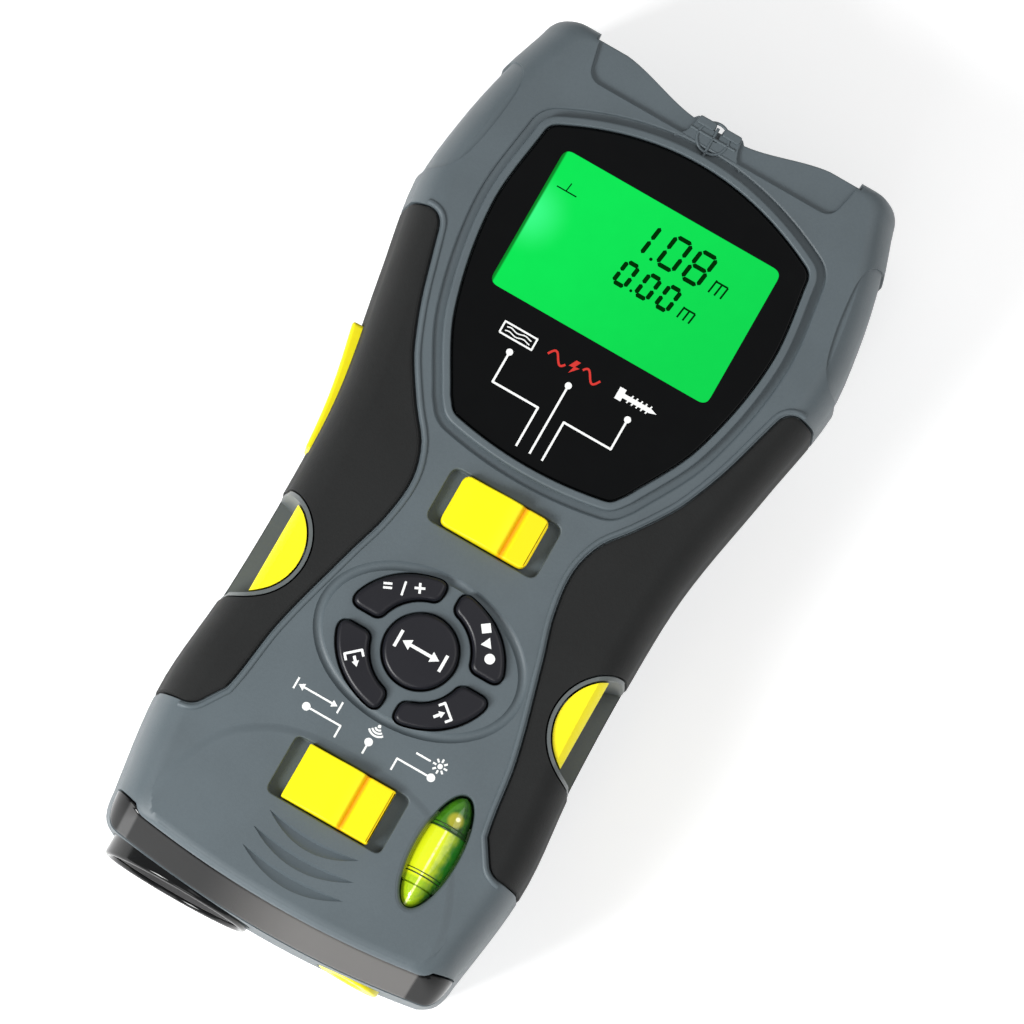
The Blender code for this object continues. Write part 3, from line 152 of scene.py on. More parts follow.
CUP_RADIUS = 10.9
CUP_WALL = 0.65
CUP_FLOOR = 18.0
BUTTON_RADIUS = 9.6
BUTTON_CHORD = 4.7
BUTTON_UNDER = 27.0
PIN_INSET = 7.0
PIN_HOLE = 1.1
CUP_BOTTOM = 1.6              # thickness under the floor of a thumb recess
TRIGGER_LENGTH = 23.2
TRIGGER_HEIGHT = 9.4
TRIGGER_Z = 22.0
TRIGGER_STATION = 86.85
VIAL_WINDOW = (3.95, 10.65)
VIAL_CUT = 6.6

SIDE_SHAPE = (
    (0.030, 0.795), (0.175, 0.864), (0.300, 0.829), (0.440, 0.820), (0.540, 0.838),
    (0.675, 0.930), (0.782, 1.000), (0.860, 0.974), (0.930, 0.918), (0.975, 0.860),
)
GRIP_SHAPE = (
    (0.160, 0.860), (0.168, 0.775), (0.203, 0.710), (0.286, 0.676), (0.386, 0.560), (0.435, 0.493),
    (0.484, 0.467), (0.522, 0.512), (0.552, 0.607), (0.584, 0.690), (0.608, 0.736), (0.660, 0.790),
    (0.735, 0.830),
)

LENS_LOW, LENS_HIGH = box_mm("window_lens")
WINDOW_START = LENS_LOW.y - GAP
WINDOW_LENGTH = LENS_HIGH.y + GAP - WINDOW_START
WINDOW_HALF = LENS_HIGH.x + GAP
LENS_TOP = LENS_HIGH.z
KEYS_Y = middle_mm("key_read").y
KEY_TOP = box_mm("key_read")[1].z
LOWER_Y = middle_mm("lower_slider").y
UPPER_Y = middle_mm("upper_slider").y
BARREL_LOW, BARREL_HIGH = box_mm("ultrasonic_barrel")
RING_LOW, RING_HIGH = box_mm("laser_ring")
VIAL_MIDDLE = middle_mm("vial_body")
VIAL_MIDDLE.y = LOWER_Y
DISPLAY_Y = middle_mm("lcd_cell").y
CUP_Y = middle_mm("left_pin_cup").y


# ---------------------------------------------------------------- settings a user would change

def length_property(label, about, default, low, high):
    return bpy.props.FloatProperty(name=label, description=about, default=default, min=low, max=high)


class MeterSizes(bpy.types.PropertyGroup):
    """Small sizes of the mouldings and prints, in millimetres"""

    lip: length_property("Lip", "Rounding along the openings in the face", 0.35, 0.05, 0.5)
    plateau: length_property("Plateau", "Height of the arched step around the lower slider", 0.3, 0.0, 0.5)
    bead: length_property("Bead", "Radius of the bead along each grip", 0.5, 0.2, 0.7)
    ink: length_property("Ink", "Thickness of the printed marks", 0.04, 0.01, 0.1)
    key_edge: length_property("Key edge", "Rounding along the top of each key", 0.75, 0.2, 1.2)
    segment: length_property("Segment", "Width of the display's segments", 0.78, 0.2, 0.8)
    rib_count: bpy.props.IntProperty(
        name="Ribs", description="Finger ribs on the battery door", default=5, min=1, max=9)


def colour_property(label, about, red, green, blue):
    return bpy.props.FloatVectorProperty(
        name=label, description=about, subtype="COLOR", size=3, min=0.0, max=1.0,
        default=srgb(red, green, blue))


class MeterColours(bpy.types.PropertyGroup):
    """Colours of the finishes"""

    shell: colour_property("Shell", "Blue-grey of the covers", 84, 94, 99)
    inner: colour_property("Recess", "Grey of the thumb recesses", 92, 98, 98)
    rubber: colour_property("Grips", "Black rubber", 26, 27, 27)
    gloss: colour_property("Gloss", "Smoked black plastic", 9, 10, 11)
    keys: colour_property("Keys", "Blue-black of the keys", 20, 20, 27)
    yellow: colour_property("Yellow", "Sliders, buttons and trigger", 255, 238, 0)
    display: colour_property("Display", "Green of the lit display", 0, 221, 80)
    segments: colour_property("Segments", "Dark segments of the display", 2, 44, 6)
    white_print: colour_property("White print", "Light marks", 240, 242, 240)
    red_print: colour_property("Red print", "Red mark on the window", 205, 34, 22)
    vial: colour_property("Vial", "Yellow-green of the vial", 202, 214, 20)
    floor: colour_property("Floor", "Studio floor", 246, 246, 246)


class MeterView(bpy.types.PropertyGroup):
    """Studio camera"""

    distance: bpy.props.FloatProperty(
        name="Distance", description="Camera to the meter", default=1.2, unit="LENGTH", min=0.4, max=3.0)
    lens: bpy.props.FloatProperty(
        name="Focal length", description="In millimetres on a 36 mm sensor", default=247.0, min=50, max=400)
    tilt: bpy.props.FloatProperty(
        name="Tilt", description="Lean of the camera towards the sensor end", subtype="ANGLE",
        default=math.radians(8.0), min=0.0, max=1.0)
    turn: bpy.props.FloatProperty(
        name="Turn", description="How far the meter leans clockwise in the view", subtype="ANGLE",
        default=math.radians(29.85), min=-3.2, max=3.2)


def sizes():
    return bpy.context.scene.meter_sizes


def colours():
    return bpy.context.scene.meter_colours


# ---------------------------------------------------------------- plane geometry

def y_at(station):
    return START_Y + station


def through(shape, share):
    """Smooth curve through (position, value) pairs, read at a position."""
    index = 0
    while index < len(shape) - 2 and share > shape[index + 1][0]:
        index += 1
    before = shape[max(index - 1, 0)]
    start = shape[index]
    end = shape[index + 1]
    after = shape[min(index + 2, len(shape) - 1)]
    span = end[0] - start[0]
    start_slope = (end[1] - before[1]) / (end[0] - before[0])
    end_slope = (after[1] - start[1]) / (after[0] - start[0])
    t = (share - start[0]) / span
    return (start[1] * (2 * t ** 3 - 3 * t ** 2 + 1) + end[1] * (3 * t ** 2 - 2 * t ** 3)
            + start_slope * span * (t ** 3 - 2 * t ** 2 + t) + end_slope * span * (t ** 3 - t ** 2))


def half_width(station):
    return BODY_HALF * through(SIDE_SHAPE, station / BODY_LENGTH)


CUP_X = half_width(CUP_Y - START_Y) + 1.0


def mirrored(half):
    left = [(-x, y) for x, y in reversed(half) if x > 1e-6]
    return list(half) + left


def flipped(loop):
    return [(-x, y) for x, y in reversed(loop)]


def grown(loop, distance):
    """The outline moved outwards by a distance, or inwards by a negative one."""
    area = sum(x0 * y1 - x1 * y0 for (x0, y0), (x1, y1) in zip(loop, loop[1:] + loop[:1]))
    turn = 1.0 if area > 0 else -1.0
    result = []
    for before, here, after in zip(loop[-1:] + loop[:-1], loop, loop[1:] + loop[:1]):
        first = Vector((here[0] - before[0], here[1] - before[1])).normalized()
        second = Vector((after[0] - here[0], after[1] - here[1])).normalized()
        first_out = Vector((first.y, -first.x)) * turn
        second_out = Vector((second.y, -second.x)) * turn
        mitre = (first_out + second_out) / max(1 + first_out.dot(second_out), 0.3)
        result.append((here[0] + mitre.x * distance, here[1] + mitre.y * distance))
    return result


def bezier(start, corner, end, steps):
    points = []
    for step in range(steps + 1):
        t = step / steps
        point = Vector(start) * (1 - t) ** 2 + Vector(corner) * 2 * t * (1 - t) + Vector(end) * t ** 2
        points.append((point.x, point.y))
    return points


def shortened(path, start, end):
    """A path without so much of its length at either end."""
    reach = [0.0]
    for here, after in zip(path, path[1:]):
        reach.append(reach[-1] + (Vector(after) - Vector(here)).length)
    result = []
    for wanted in (start, reach[-1] - end):
        index = max(1, next((i for i, value in enumerate(reach) if value >= wanted), len(reach) - 1))
        share = (wanted - reach[index - 1]) / max(reach[index] - reach[index - 1], 1e-9)
        point = Vector(path[index - 1]).lerp(Vector(path[index]), share)
        result.append(tuple(point))
    inner = [point for point, value in zip(path, reach) if start + 1e-3 < value < reach[-1] - end - 1e-3]
    return [result[0], *inner, result[1]]


def rounded(loop, radius, steps=8, limit=40):
    """The outline with a smooth corner wherever it turns by more than a limit in degrees."""
    turns = []
    for before, here, after in zip(loop[-1:] + loop[:-1], loop, loop[1:] + loop[:1]):
        turns.append((Vector(here) - Vector(before)).angle(Vector(after) - Vector(here)))
    corners = [index for index, turn in enumerate(turns) if turn > math.radians(limit)]
    if len(corners) < 2:
        return loop
    paths = []
    for index, after in zip(corners, corners[1:] + [corners[0] + len(loop)]):
        paths.append([loop[place % len(loop)] for place in range(index, after + 1)])
    lengths = [sum((Vector(b) - Vector(a)).length for a, b in zip(path, path[1:])) for path in paths]
    reach = [min(radius * math.tan(min(turns[index], 2.2) / 2), 0.45 * lengths[order],
                 0.45 * lengths[order - 1]) for order, index in enumerate(corners)]
    cut = [shortened(path, reach[order], reach[(order + 1) % len(reach)]) for order, path in enumerate(paths)]
    result = []
    for order, path in enumerate(cut):
        after = (order + 1) % len(cut)
        result += path[:-1] + bezier(path[-1], loop[corners[after]], cut[after][0], steps)[:-1]
    return result


def smooth_path(points, steps):
    """An open curve through points, with so many steps between each two."""
    result = []
    ends = [points[0]] + list(points) + [points[-1]]
    for index in range(1, len(ends) - 2):
        p0, p1, p2, p3 = (Vector(point) for point in ends[index - 1:index + 3])
        for step in range(steps):
            t = step / steps
            point = 0.5 * (2 * p1 + (p2 - p0) * t + (2 * p0 - 5 * p1 + 4 * p2 - p3) * t ** 2
                           + (3 * p1 - p0 - 3 * p2 + p3) * t ** 3)
            result.append(tuple(point))
    result.append(tuple(points[-1]))
    return result


def turned_point(centre, radii, angle):
    return (centre[0] + radii[0] * math.cos(angle), centre[1] + radii[1] * math.sin(angle))


def ellipse(centre, radii, sides):
    return [turned_point(centre, radii, 2 * math.pi * index / sides) for index in range(sides)]


def rectangle(centre, size):
    x, y = centre
    half_x, half_y = size[0] / 2, size[1] / 2
    return [(x - half_x, y - half_y), (x + half_x, y - half_y),
            (x + half_x, y + half_y), (x - half_x, y + half_y)]


def end_bow(x):
    return END_BOW_RADIUS - math.sqrt(END_BOW_RADIUS ** 2 - x ** 2)


def body_outline(side=0.0, sensor=0.0, head=0.0):
    """Plan outline of the closed casing, drawn in at its sides, sensor end and head."""
    flat = END_FLAT - side
    half = [(flat * index / 10, y_at(sensor + end_bow(flat * index / 10))) for index in range(11)]
    side_start = sensor + end_bow(flat) + 2 * END_CORNER
    side_end = BODY_LENGTH - head - HEAD_CORNER
    first = (half_width(side_start) - side, y_at(side_start))
    half += bezier(half[-1], (first[0] - 0.3, half[-1][1] + 0.25), first, 8)[1:]
    for index in range(1, 49):
        station = side_start + (side_end - side_start) * index / 48
        half.append((half_width(station) - side, y_at(station)))
    end = y_at(BODY_LENGTH - head)
    last = half[-1]
    half += bezier(last, (last[0] - 0.6, end), (last[0] - HEAD_CORNER, end), 8)[1:]
    half += [(EAR_GAP * share, end) for share in (0.9, 0.45)]
    return mirrored(half)


def window_outline():
    """Shield-shaped window: arched top, sides that widen and then taper, and a shallow bowed foot."""
    end = WINDOW_START + WINDOW_LENGTH
    shoulder = (WINDOW_HALF * 0.9375, end - WINDOW_LENGTH * 0.1156)
    foot = (WINDOW_HALF * 0.5625, WINDOW_LENGTH * 0.0285)
    half = [(foot[0] * t / 8, WINDOW_START + foot[1] * (t / 8) ** 2) for t in range(8)]
    side = ((0.0285, 0.5625), (0.0700, 0.6300), (0.285, 0.871), (0.600, 1.000), (0.8844, 0.9375))
    for index in range(31):
        share = side[0][0] + (side[-1][0] - side[0][0]) * (index / 30) ** 0.9
        half.append((WINDOW_HALF * through(side, share), WINDOW_START + WINDOW_LENGTH * share))
    for index in range(1, 17):
        t = index / 16
        half.append((shoulder[0] * (1 - t), end - (end - shoulder[1]) * (1 - t) ** 2))
    return rounded(mirrored(half), 3.0, 8, 25)


def grip_edge():
    """Inner edge of the left grip, from its lower to its upper end."""
    edge = []
    for index in range(61):
        share = GRIP_SHAPE[0][0] + (GRIP_SHAPE[-1][0] - GRIP_SHAPE[0][0]) * index / 60
        station = share * BODY_LENGTH
        edge.append((-half_width(station) * through(GRIP_SHAPE, share), y_at(station)))
    return edge


def grip_region(margin):
    """Plan area of the left grip, from its inner edge to well outside the body."""
    outside = -2 * BODY_HALF
    edge = grip_edge()
    low = y_at((GRIP_SHAPE[0][0] + 0.004) * BODY_LENGTH)
    high = y_at((GRIP_SHAPE[-1][0] + 0.011) * BODY_LENGTH)
    loop = [(outside, low - 1.2), (-28.8, low + 0.2), *edge[4:],
            (edge[-1][0] - 0.6, high), (outside, high - 1.5)]
    return grown(rounded(loop, 3.6, 10, 24), margin)


def sector_outline(sign_x, sign_y):
    """One of the four outer keys, between the inner circle and the outer ellipse."""
    start = math.asin(KEY_CROSS / KEY_RING[1])
    end = math.acos(KEY_CROSS / KEY_RING[0])
    loop = []
    for index in range(21):
        angle = start + (end - start) * index / 20
        loop.append((KEY_RING[0] * math.cos(angle), KEY_RING[1] * math.sin(angle)))
    start = math.asin(KEY_CROSS / KEY_CIRCLE)
    end = math.pi / 2 - start
    for index in range(13):
        angle = end + (start - end) * index / 12
        loop.append((KEY_CIRCLE * math.cos(angle), KEY_CIRCLE * math.sin(angle)))
    loop = rounded(loop, 1.7, 8)
    loop = [(x * sign_x, y * sign_y + KEYS_Y) for x, y in loop]
    if sign_x * sign_y < 0:
        loop.reverse()
    return loop


# ---------------------------------------------------------------- casing surfaces

def rounding(height, radius):
    share = min(max(1 - height / radius, 0.0), 1.0)
    return radius * (1 - math.sqrt(1 - share ** 2))


def side_inset(height):
    """How far the side lies inside the widest outline at a height."""
    if height <= WIDEST_HEIGHT:
        inset = SIDE_DRAFT * (1 - height / WIDEST_HEIGHT) ** 1.3
    elif height <= PARTING:
        inset = UPPER_DRAFT * ((height - WIDEST_HEIGHT) / (PARTING - WIDEST_HEIGHT)) ** 1.3
    else:
        rise = min((height - PARTING) / FRONT_DEPTH, 1.0)
        inset = UPPER_DRAFT + SHOULDER * (1 - math.sqrt(1 - rise ** 2))
    return inset + rounding(height, BACK_ROUND)


def sensor_inset(height):
    if height <= PARTING:
        return END_DRAFT * (1 - height / PARTING) + rounding(height, BACK_ROUND)
    share = min((height - PARTING) / (BAND_TOP - PARTING), 1.0)
    lip = max(height - BAND_TOP, 0.0)
    return BAND_SLOPE * share + 0.8 * lip ** 2


def head_inset(height):
    share = max(height - (BODY_DEPTH - HEAD_ROUND), 0.0) / HEAD_ROUND
    return rounding(height, BACK_ROUND) + HEAD_ROUND * (1 - math.sqrt(1 - min(share, 1.0) ** 2))


def skin_height(x, y):
    """Height of the casing's upper surface over a place near its sides."""
    depth = half_width(y - START_Y) - abs(x) - UPPER_DRAFT
    share = min(max(1 - depth / SHOULDER, 0.0), 1.0)
    return PARTING + FRONT_DEPTH * math.sqrt(1 - share ** 2)


# ---------------------------------------------------------------- meshes in millimetres

def linked(name, data):
    """A new object in the scene for a mesh, curve, lamp or camera."""
    made = bpy.data.objects.new(name, data)
    bpy.context.scene.collection.objects.link(made)
    return made


def from_bmesh(name, shape):
    mesh = bpy.data.meshes.new(name)
    bmesh.ops.recalc_face_normals(shape, faces=shape.faces)
    shape.to_mesh(mesh)
    shape.free()
    return linked(name, mesh)


def skinned(name, rings, looped=False):
    """A closed solid through rings of equally many points in space; a looped one has no end faces."""
    shape = bmesh.new()
    rows = [[shape.verts.new(point) for point in ring] for ring in rings]
    for here, after in zip(rows, rows[1:] + rows[:1] if looped else rows[1:]):
        for index in range(len(here)):
            step = (index + 1) % len(here)
            shape.faces.new((here[index], here[step], after[step], after[index]))
    if not looped:
        shape.faces.new(list(reversed(rows[0])))
        shape.faces.new(rows[-1])
    return from_bmesh(name, shape)


def quarter(steps):
    """Steps of a quarter turn as (1 - cosine, 1 - sine), for fillets and rounded edges."""
    angles = [math.pi / 2 * step / steps for step in range(steps + 1)]
    return [(1 - math.cos(angle), 1 - math.sin(angle)) for angle in angles]


def loft(name, rings):
    """A closed solid through level rings; a ring is (outline, height)."""
    return skinned(name, [[(x, y, height) for x, y in outline] for outline, height in rings])


def prism(name, outline, low, high):
    return loft(name, [(outline, low), (outline, high)])


def block(name, low, high):
    return prism(name, [(low[0], low[1]), (high[0], low[1]), (high[0], high[1]), (low[0], high[1])],
                 low[2], high[2])


def recess(name, outline, floor, surface, lip=None, root=0.2, steps=4):
    """A cutter for a hole or recess, with a fillet at its floor and a rounded lip at the surface."""
    lip = sizes().lip if lip is None else lip
    rings = [(grown(outline, -root * sine), floor + root * cosine) for cosine, sine in quarter(steps)]
    rings += [(grown(outline, lip * cosine), surface - lip * sine) for cosine, sine in quarter(steps)]
    rings.append((grown(outline, lip), surface + 4))
    return loft(name, rings)


def cap(name, outline, low, high, edge, steps=5, foot=()):
    """A solid with straight sides and a rounded top edge; foot gives extra rings of (growth, height)."""
    rings = [(grown(outline, growth), height) for growth, height in foot]
    rings.append((outline, low))
    rings += [(grown(outline, -edge * cosine), high - edge * sine) for cosine, sine in quarter(steps)]
    return loft(name, rings)


def ring_of(name, outline, section):
    """A closed section of (distance outwards, height) carried round an outline."""
    return skinned(name, [[(x, y, height) for x, y in grown(outline, distance)]
                          for distance, height in section], looped=True)


def turned(name, profile, origin, axis, sides=96, closed=False):
    """A profile of (radius, distance along the axis) turned about an axis through the origin point."""
    shape = bmesh.new()
    turn = Vector((0, 0, 1)).rotation_difference(Vector(axis)).to_matrix()
    rows = []
    for radius, along in profile:
        if radius < 1e-6:
            rows.append([shape.verts.new(turn @ Vector((0, 0, along)) + Vector(origin))])
            continue
        rows.append([shape.verts.new(turn @ Vector((radius * math.cos(2 * math.pi * index / sides),
                                                    radius * math.sin(2 * math.pi * index / sides),
                                                    along)) + Vector(origin)) for index in range(sides)])
    pairs = list(zip(rows, rows[1:]))
    if closed:
        pairs.append((rows[-1], rows[0]))
    for here, after in pairs:
        for index in range(sides):
            step = (index + 1) % sides
            corners = [here[index % len(here)], here[step % len(here)],
                       after[step % len(after)], after[index % len(after)]]
            unique = list(dict.fromkeys(corners))
            if len(unique) > 2:
                shape.faces.new(unique)
    return from_bmesh(name, shape)


def rod(name, radius, start, end, sides=64):
    length = (Vector(end) - Vector(start)).length
    profile = [(0, 0), (radius, 0), (radius, length), (0, length)]
    return turned(name, profile, start, Vector(end) - Vector(start), sides)


def standing(made):
    """Turn a flat plate so that its outline stands in the XZ plane and its thickness runs along Y."""
    made.data.transform(Matrix.Rotation(math.pi / 2, 4, "X"))
    return made


def plain(made):
    """The object with its modifiers worked into its mesh."""
    depsgraph = bpy.context.evaluated_depsgraph_get()
    mesh = bpy.data.meshes.new_from_object(made.evaluated_get(depsgraph))
    made.modifiers.clear()
    old = made.data
    if made.type == "MESH":
        made.data = mesh
        bpy.data.meshes.remove(old)
        return made
    solid = linked(made.name, mesh)
    bpy.data.objects.remove(made)
    return solid


def layered(name, plan, low, depths):
    """The casing's skin over a plan area, its edge rounded by steps of (growth, depth)."""
    steps = []
    for growth, depth in depths:
        step = prism(name, grown(plan, growth), low, BODY_DEPTH + 1)
        steps.append(shape_with(step, ("keep", casing("bound", depth, -2.0, BODY_DEPTH - depth))))
    return shape_with(steps[0], ("join", *steps[1:]))


def shape_with(made, *steps):
    """Works other solids into one: each step is "cut", "join" or "keep" and the solids it takes."""
    words = {"cut": "DIFFERENCE", "join": "UNION", "keep": "INTERSECT"}
    used = []
    for word, *others in steps:
        for other in others:
            modifier = made.modifiers.new(word, "BOOLEAN")
            modifier.operation = words[word]
            modifier.solver = "MANIFOLD"
            modifier.object = other
            used.append(other)
    plain(made)
    for other in set(used):
        bpy.data.objects.remove(other)
    return made


def soften(made, width, angle=40, segments=3):
    """Rounds the sharp edges of a piece."""
    shape = bmesh.new()
    shape.from_mesh(made.data)
    bmesh.ops.remove_doubles(shape, verts=shape.verts, dist=0.01)
    shape.to_mesh(made.data)
    shape.free()
    bevel = made.modifiers.new("Soft edges", "BEVEL")
    bevel.width = width
    bevel.segments = segments
    bevel.limit_method = "ANGLE"
    bevel.angle_limit = math.radians(angle)
    bevel.use_clamp_overlap = False
    bevel.harden_normals = False
    return plain(made)


def joined(name, made):
    """Several separate solids as one piece."""
    shape = bmesh.new()
    for item in made:
        shape.from_mesh(item.data)
        bpy.data.objects.remove(item)
    mesh = bpy.data.meshes.new(name)
    shape.to_mesh(mesh)
    shape.free()
    return linked(name, mesh)


def piece(made, name, material, body, nodes=(), angle=32):
    """Finishes a piece: metres, shading, material, the body it rides on and the nodes it stands for."""
    made.name = name
    made.data.name = name
    made.data.transform(Matrix.Scale(MM, 4))
    made.data.materials.clear()
    made.data.materials.append(material)
    for face in made.data.polygons:
        face.material_index = 0
    made.data.shade_smooth()
    made.data.set_sharp_from_angle(angle=math.radians(angle))
    normals = made.modifiers.new("Even shading", "WEIGHTED_NORMAL")
    normals.keep_sharp = True
    normals.weight = 80
    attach(made, body)
    if nodes:
        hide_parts(*nodes)
    return made


# ---------------------------------------------------------------- Geometry Nodes

class NodeTree:
    """A Geometry Nodes tree with named inputs, built a node at a time."""

    def __init__(self, name, inputs):
        self.tree = bpy.data.node_groups.new(name, "GeometryNodeTree")
        face = self.tree.interface
        face.new_socket("Geometry", in_out="INPUT", socket_type="NodeSocketGeometry")
        for label, kind in inputs:
            face.new_socket(label, in_out="INPUT", socket_type=kind)
        face.new_socket("Geometry", in_out="OUTPUT", socket_type="NodeSocketGeometry")
        self.start = self.tree.nodes.new("NodeGroupInput")

    def add(self, kind, settings=None, **links):
        node = self.tree.nodes.new(kind)
        for key, value in (settings or {}).items():
            setattr(node, key, value)
        for key, value in links.items():
            socket = node.inputs[key.replace("_", " ")]
            if isinstance(value, bpy.types.NodeSocket):
                self.tree.links.new(value, socket)
            else:
                socket.default_value = value
        return node

    def finish(self, geometry):
        real = self.add("GeometryNodeRealizeInstances", Geometry=geometry)
        painted = self.add("GeometryNodeSetMaterial", Geometry=real.outputs["Geometry"],
                           Material=self.start.outputs["Material"])
        end = self.tree.nodes.new("NodeGroupOutput")
        self.tree.links.new(painted.outputs["Geometry"], end.inputs["Geometry"])
        return self.tree


def sweep_tree():
    """A round bar along each curve, with closed ends."""
    if "Bar along a path" in bpy.data.node_groups:
        return bpy.data.node_groups["Bar along a path"]
    made = NodeTree("Bar along a path", [("Radius", "NodeSocketFloat"), ("Sides", "NodeSocketInt"),
                                         ("Material", "NodeSocketMaterial")])
    circle = made.add("GeometryNodeCurvePrimitiveCircle", Resolution=made.start.outputs["Sides"],
                      Radius=made.start.outputs["Radius"])
    bar = made.add("GeometryNodeCurveToMesh", Curve=made.start.outputs["Geometry"],
                   Profile_Curve=circle.outputs["Curve"], Fill_Caps=True)
    return made.finish(bar.outputs["Mesh"])


def repeat_tree():
    """A copy of a piece on each point, turned and sized by the point's own values."""
    if "Copies on points" in bpy.data.node_groups:
        return bpy.data.node_groups["Copies on points"]
    made = NodeTree("Copies on points", [("Piece", "NodeSocketObject"), ("Material", "NodeSocketMaterial")])
    info = made.add("GeometryNodeObjectInfo", Object=made.start.outputs["Piece"])
    turn = made.add("GeometryNodeInputNamedAttribute", {"data_type": "FLOAT_VECTOR"}, Name="turn")
    size = made.add("GeometryNodeInputNamedAttribute", {"data_type": "FLOAT_VECTOR"}, Name="size")
    turned_by = made.add("FunctionNodeEulerToRotation", Euler=turn.outputs["Attribute"])
    copies = made.add("GeometryNodeInstanceOnPoints", Points=made.start.outputs["Geometry"],
                      Instance=info.outputs["Geometry"], Rotation=turned_by.outputs["Rotation"],
                      Scale=size.outputs["Attribute"])
    return made.finish(copies.outputs["Instances"])


def run_tree(made, tree, **values):
    """Puts a tree on an object, sets its inputs and turns the result to a plain mesh."""
    modifier = made.modifiers.new(tree.name, "NODES")
    modifier.node_group = tree
    for item in tree.interface.items_tree:
        if item.in_out == "INPUT" and item.name in values:
            modifier[item.identifier] = values[item.name]
    return plain(made)


def bars(name, paths, radius, material, sides=12):
    """Round bars along open paths of points."""
    curve = bpy.data.curves.new(name, "CURVE")
    curve.dimensions = "3D"
    for path in paths:
        spline = curve.splines.new("POLY")
        spline.points.add(len(path) - 1)
        for point, place in zip(spline.points, path):
            point.co = (*place, 1.0)
    return run_tree(linked(name, curve), sweep_tree(), Radius=radius, Sides=sides, Material=material)


def copies(name, item, places, material):
    """Copies of a solid; a place is (point, turn about Z, size)."""
    mesh = bpy.data.meshes.new(name)
    mesh.from_pydata([place[0] for place in places], [], [])
    turn = mesh.attributes.new("turn", "FLOAT_VECTOR", "POINT")
    size = mesh.attributes.new("size", "FLOAT_VECTOR", "POINT")
    for index, (_, angle, scale) in enumerate(places):
        turn.data[index].vector = (0.0, 0.0, angle)
        size.data[index].vector = scale
    made = linked(name, mesh)
    run_tree(made, repeat_tree(), Piece=item, Material=material)
    bpy.data.objects.remove(item)
    return made


# ---------------------------------------------------------------- shader building

class Value:
    """A shader socket that takes part in arithmetic."""

    def __init__(self, shader, socket):
        self.shader = shader
        self.socket = socket

    def _math(self, operation, first, second):
        return self.shader.add("ShaderNodeMath", {"operation": operation}, {0: first, 1: second})

    def __add__(self, other):
        return self._math("ADD", self, other)

    __radd__ = __add__

    def __mul__(self, other):
        return self._math("MULTIPLY", self, other)

    __rmul__ = __mul__

    def __sub__(self, other):
        return self._math("SUBTRACT", self, other)

    def __rsub__(self, other):
        return self._math("SUBTRACT", other, self)

    def __truediv__(self, other):
        return self._math("DIVIDE", self, other)

    def __pow__(self, other):
        return self._math("POWER", self, other)


class Finish:
    """A material with one Principled shader, built up from nodes."""

    def __init__(self, name, **constants):
        self.material = bpy.data.materials.new(name)
        self.material.use_nodes = True
        self.tree = self.material.node_tree
        self.shader = self.tree.nodes["Principled BSDF"]
        for key, value in constants.items():
            self.set(key.replace("_", " "), value)

    def add(self, kind, settings=None, inputs=None, output=0):
        node = self.tree.nodes.new(kind)
        for key, value in (settings or {}).items():
            if key == "stops":
                ramp = node.color_ramp
                while len(ramp.elements) < len(value):
                    ramp.elements.new(0.5)
                for element, (position, colour) in zip(ramp.elements, value):
                    element.position = position
                    element.color = colour
            else:
                setattr(node, key, value)
        for key, value in (inputs or {}).items():
            self.join(value, node.inputs[key])
        return Value(self, node.outputs[output])

    def join(self, value, socket):
        if isinstance(value, Value):
            self.tree.links.new(value.socket, socket)
        elif socket.type == "RGBA" and len(value) == 3:
            socket.default_value = (*value, 1.0)
        else:
            socket.default_value = value

    def set(self, label, value):
        self.join(value, self.shader.inputs[label])

    def place(self):
        return self.add("ShaderNodeTexCoord", output="Object")

    def axis(self, name):
        return self.add("ShaderNodeSeparateXYZ", None, {0: self.place()}, output=name)

    def noise(self, size, detail=3.0, rough=0.5):
        """Noise from 0 to 1 whose marks are about so many millimetres across."""
        return self.add("ShaderNodeTexNoise", None, {"Vector": self.place(), "Scale": 1.0 / (size * MM),
                                                    "Detail": detail, "Roughness": rough}, output=0)

    def cells(self, size, feature="F1"):
        return self.add("ShaderNodeTexVoronoi", {"feature": feature},
                        {"Vector": self.place(), "Scale": 1.0 / (size * MM)}, output="Distance")

    def mix(self, share, first, second):
        node = self.tree.nodes.new("ShaderNodeMix")
        node.data_type = "RGBA"
        for key, value in (("Factor", share), ("A", first), ("B", second)):
            socket = next(item for item in node.inputs if item.name == key
                          and item.type == ("VALUE" if key == "Factor" else "RGBA"))
            self.join(value, socket)
        return Value(self, next(item for item in node.outputs if item.type == "RGBA"))

    def band(self, value, low, high):
        """0 below one value, 1 above another, and smooth between them."""
        return self.add("ShaderNodeMapRange", {"interpolation_type": "SMOOTHSTEP"},
                        {0: value, 1: low, 2: high, 3: 0.0, 4: 1.0})

    def bump(self, height, depth, strength=1.0):
        """Relief whose full height is so many millimetres."""
        return self.add("ShaderNodeBump", None, {"Height": height, "Distance": depth * MM,
                                                 "Strength": strength}, output="Normal")


def shade(colour, factor):
    return tuple(min(channel * factor, 1.0) for channel in colour)


def moulded(name, colour, roughness, grain=0.45, relief=0.022, vary=0.07, **constants):
    """Moulded plastic or rubber: spark-eroded grain, faint flow marks and uneven gloss."""
    finish = Finish(name, **constants)
    flow = finish.noise(14.0, 2.0)
    fine = finish.noise(grain, 4.0, 0.6)
    speck = finish.noise(grain * 0.5, 1.0)
    light = flow * 0.6 + fine * 0.4
    finish.set("Base Color", finish.mix(finish.band(light, 0.3, 0.7), shade(colour, 1 - vary),
                                        shade(colour, 1 + vary)))
    finish.set("Roughness", roughness - 0.05 + finish.noise(6.0, 3.0) * 0.1)
    finish.set("Normal", finish.bump(fine * 0.7 + speck * 0.3, relief))
    return finish.material


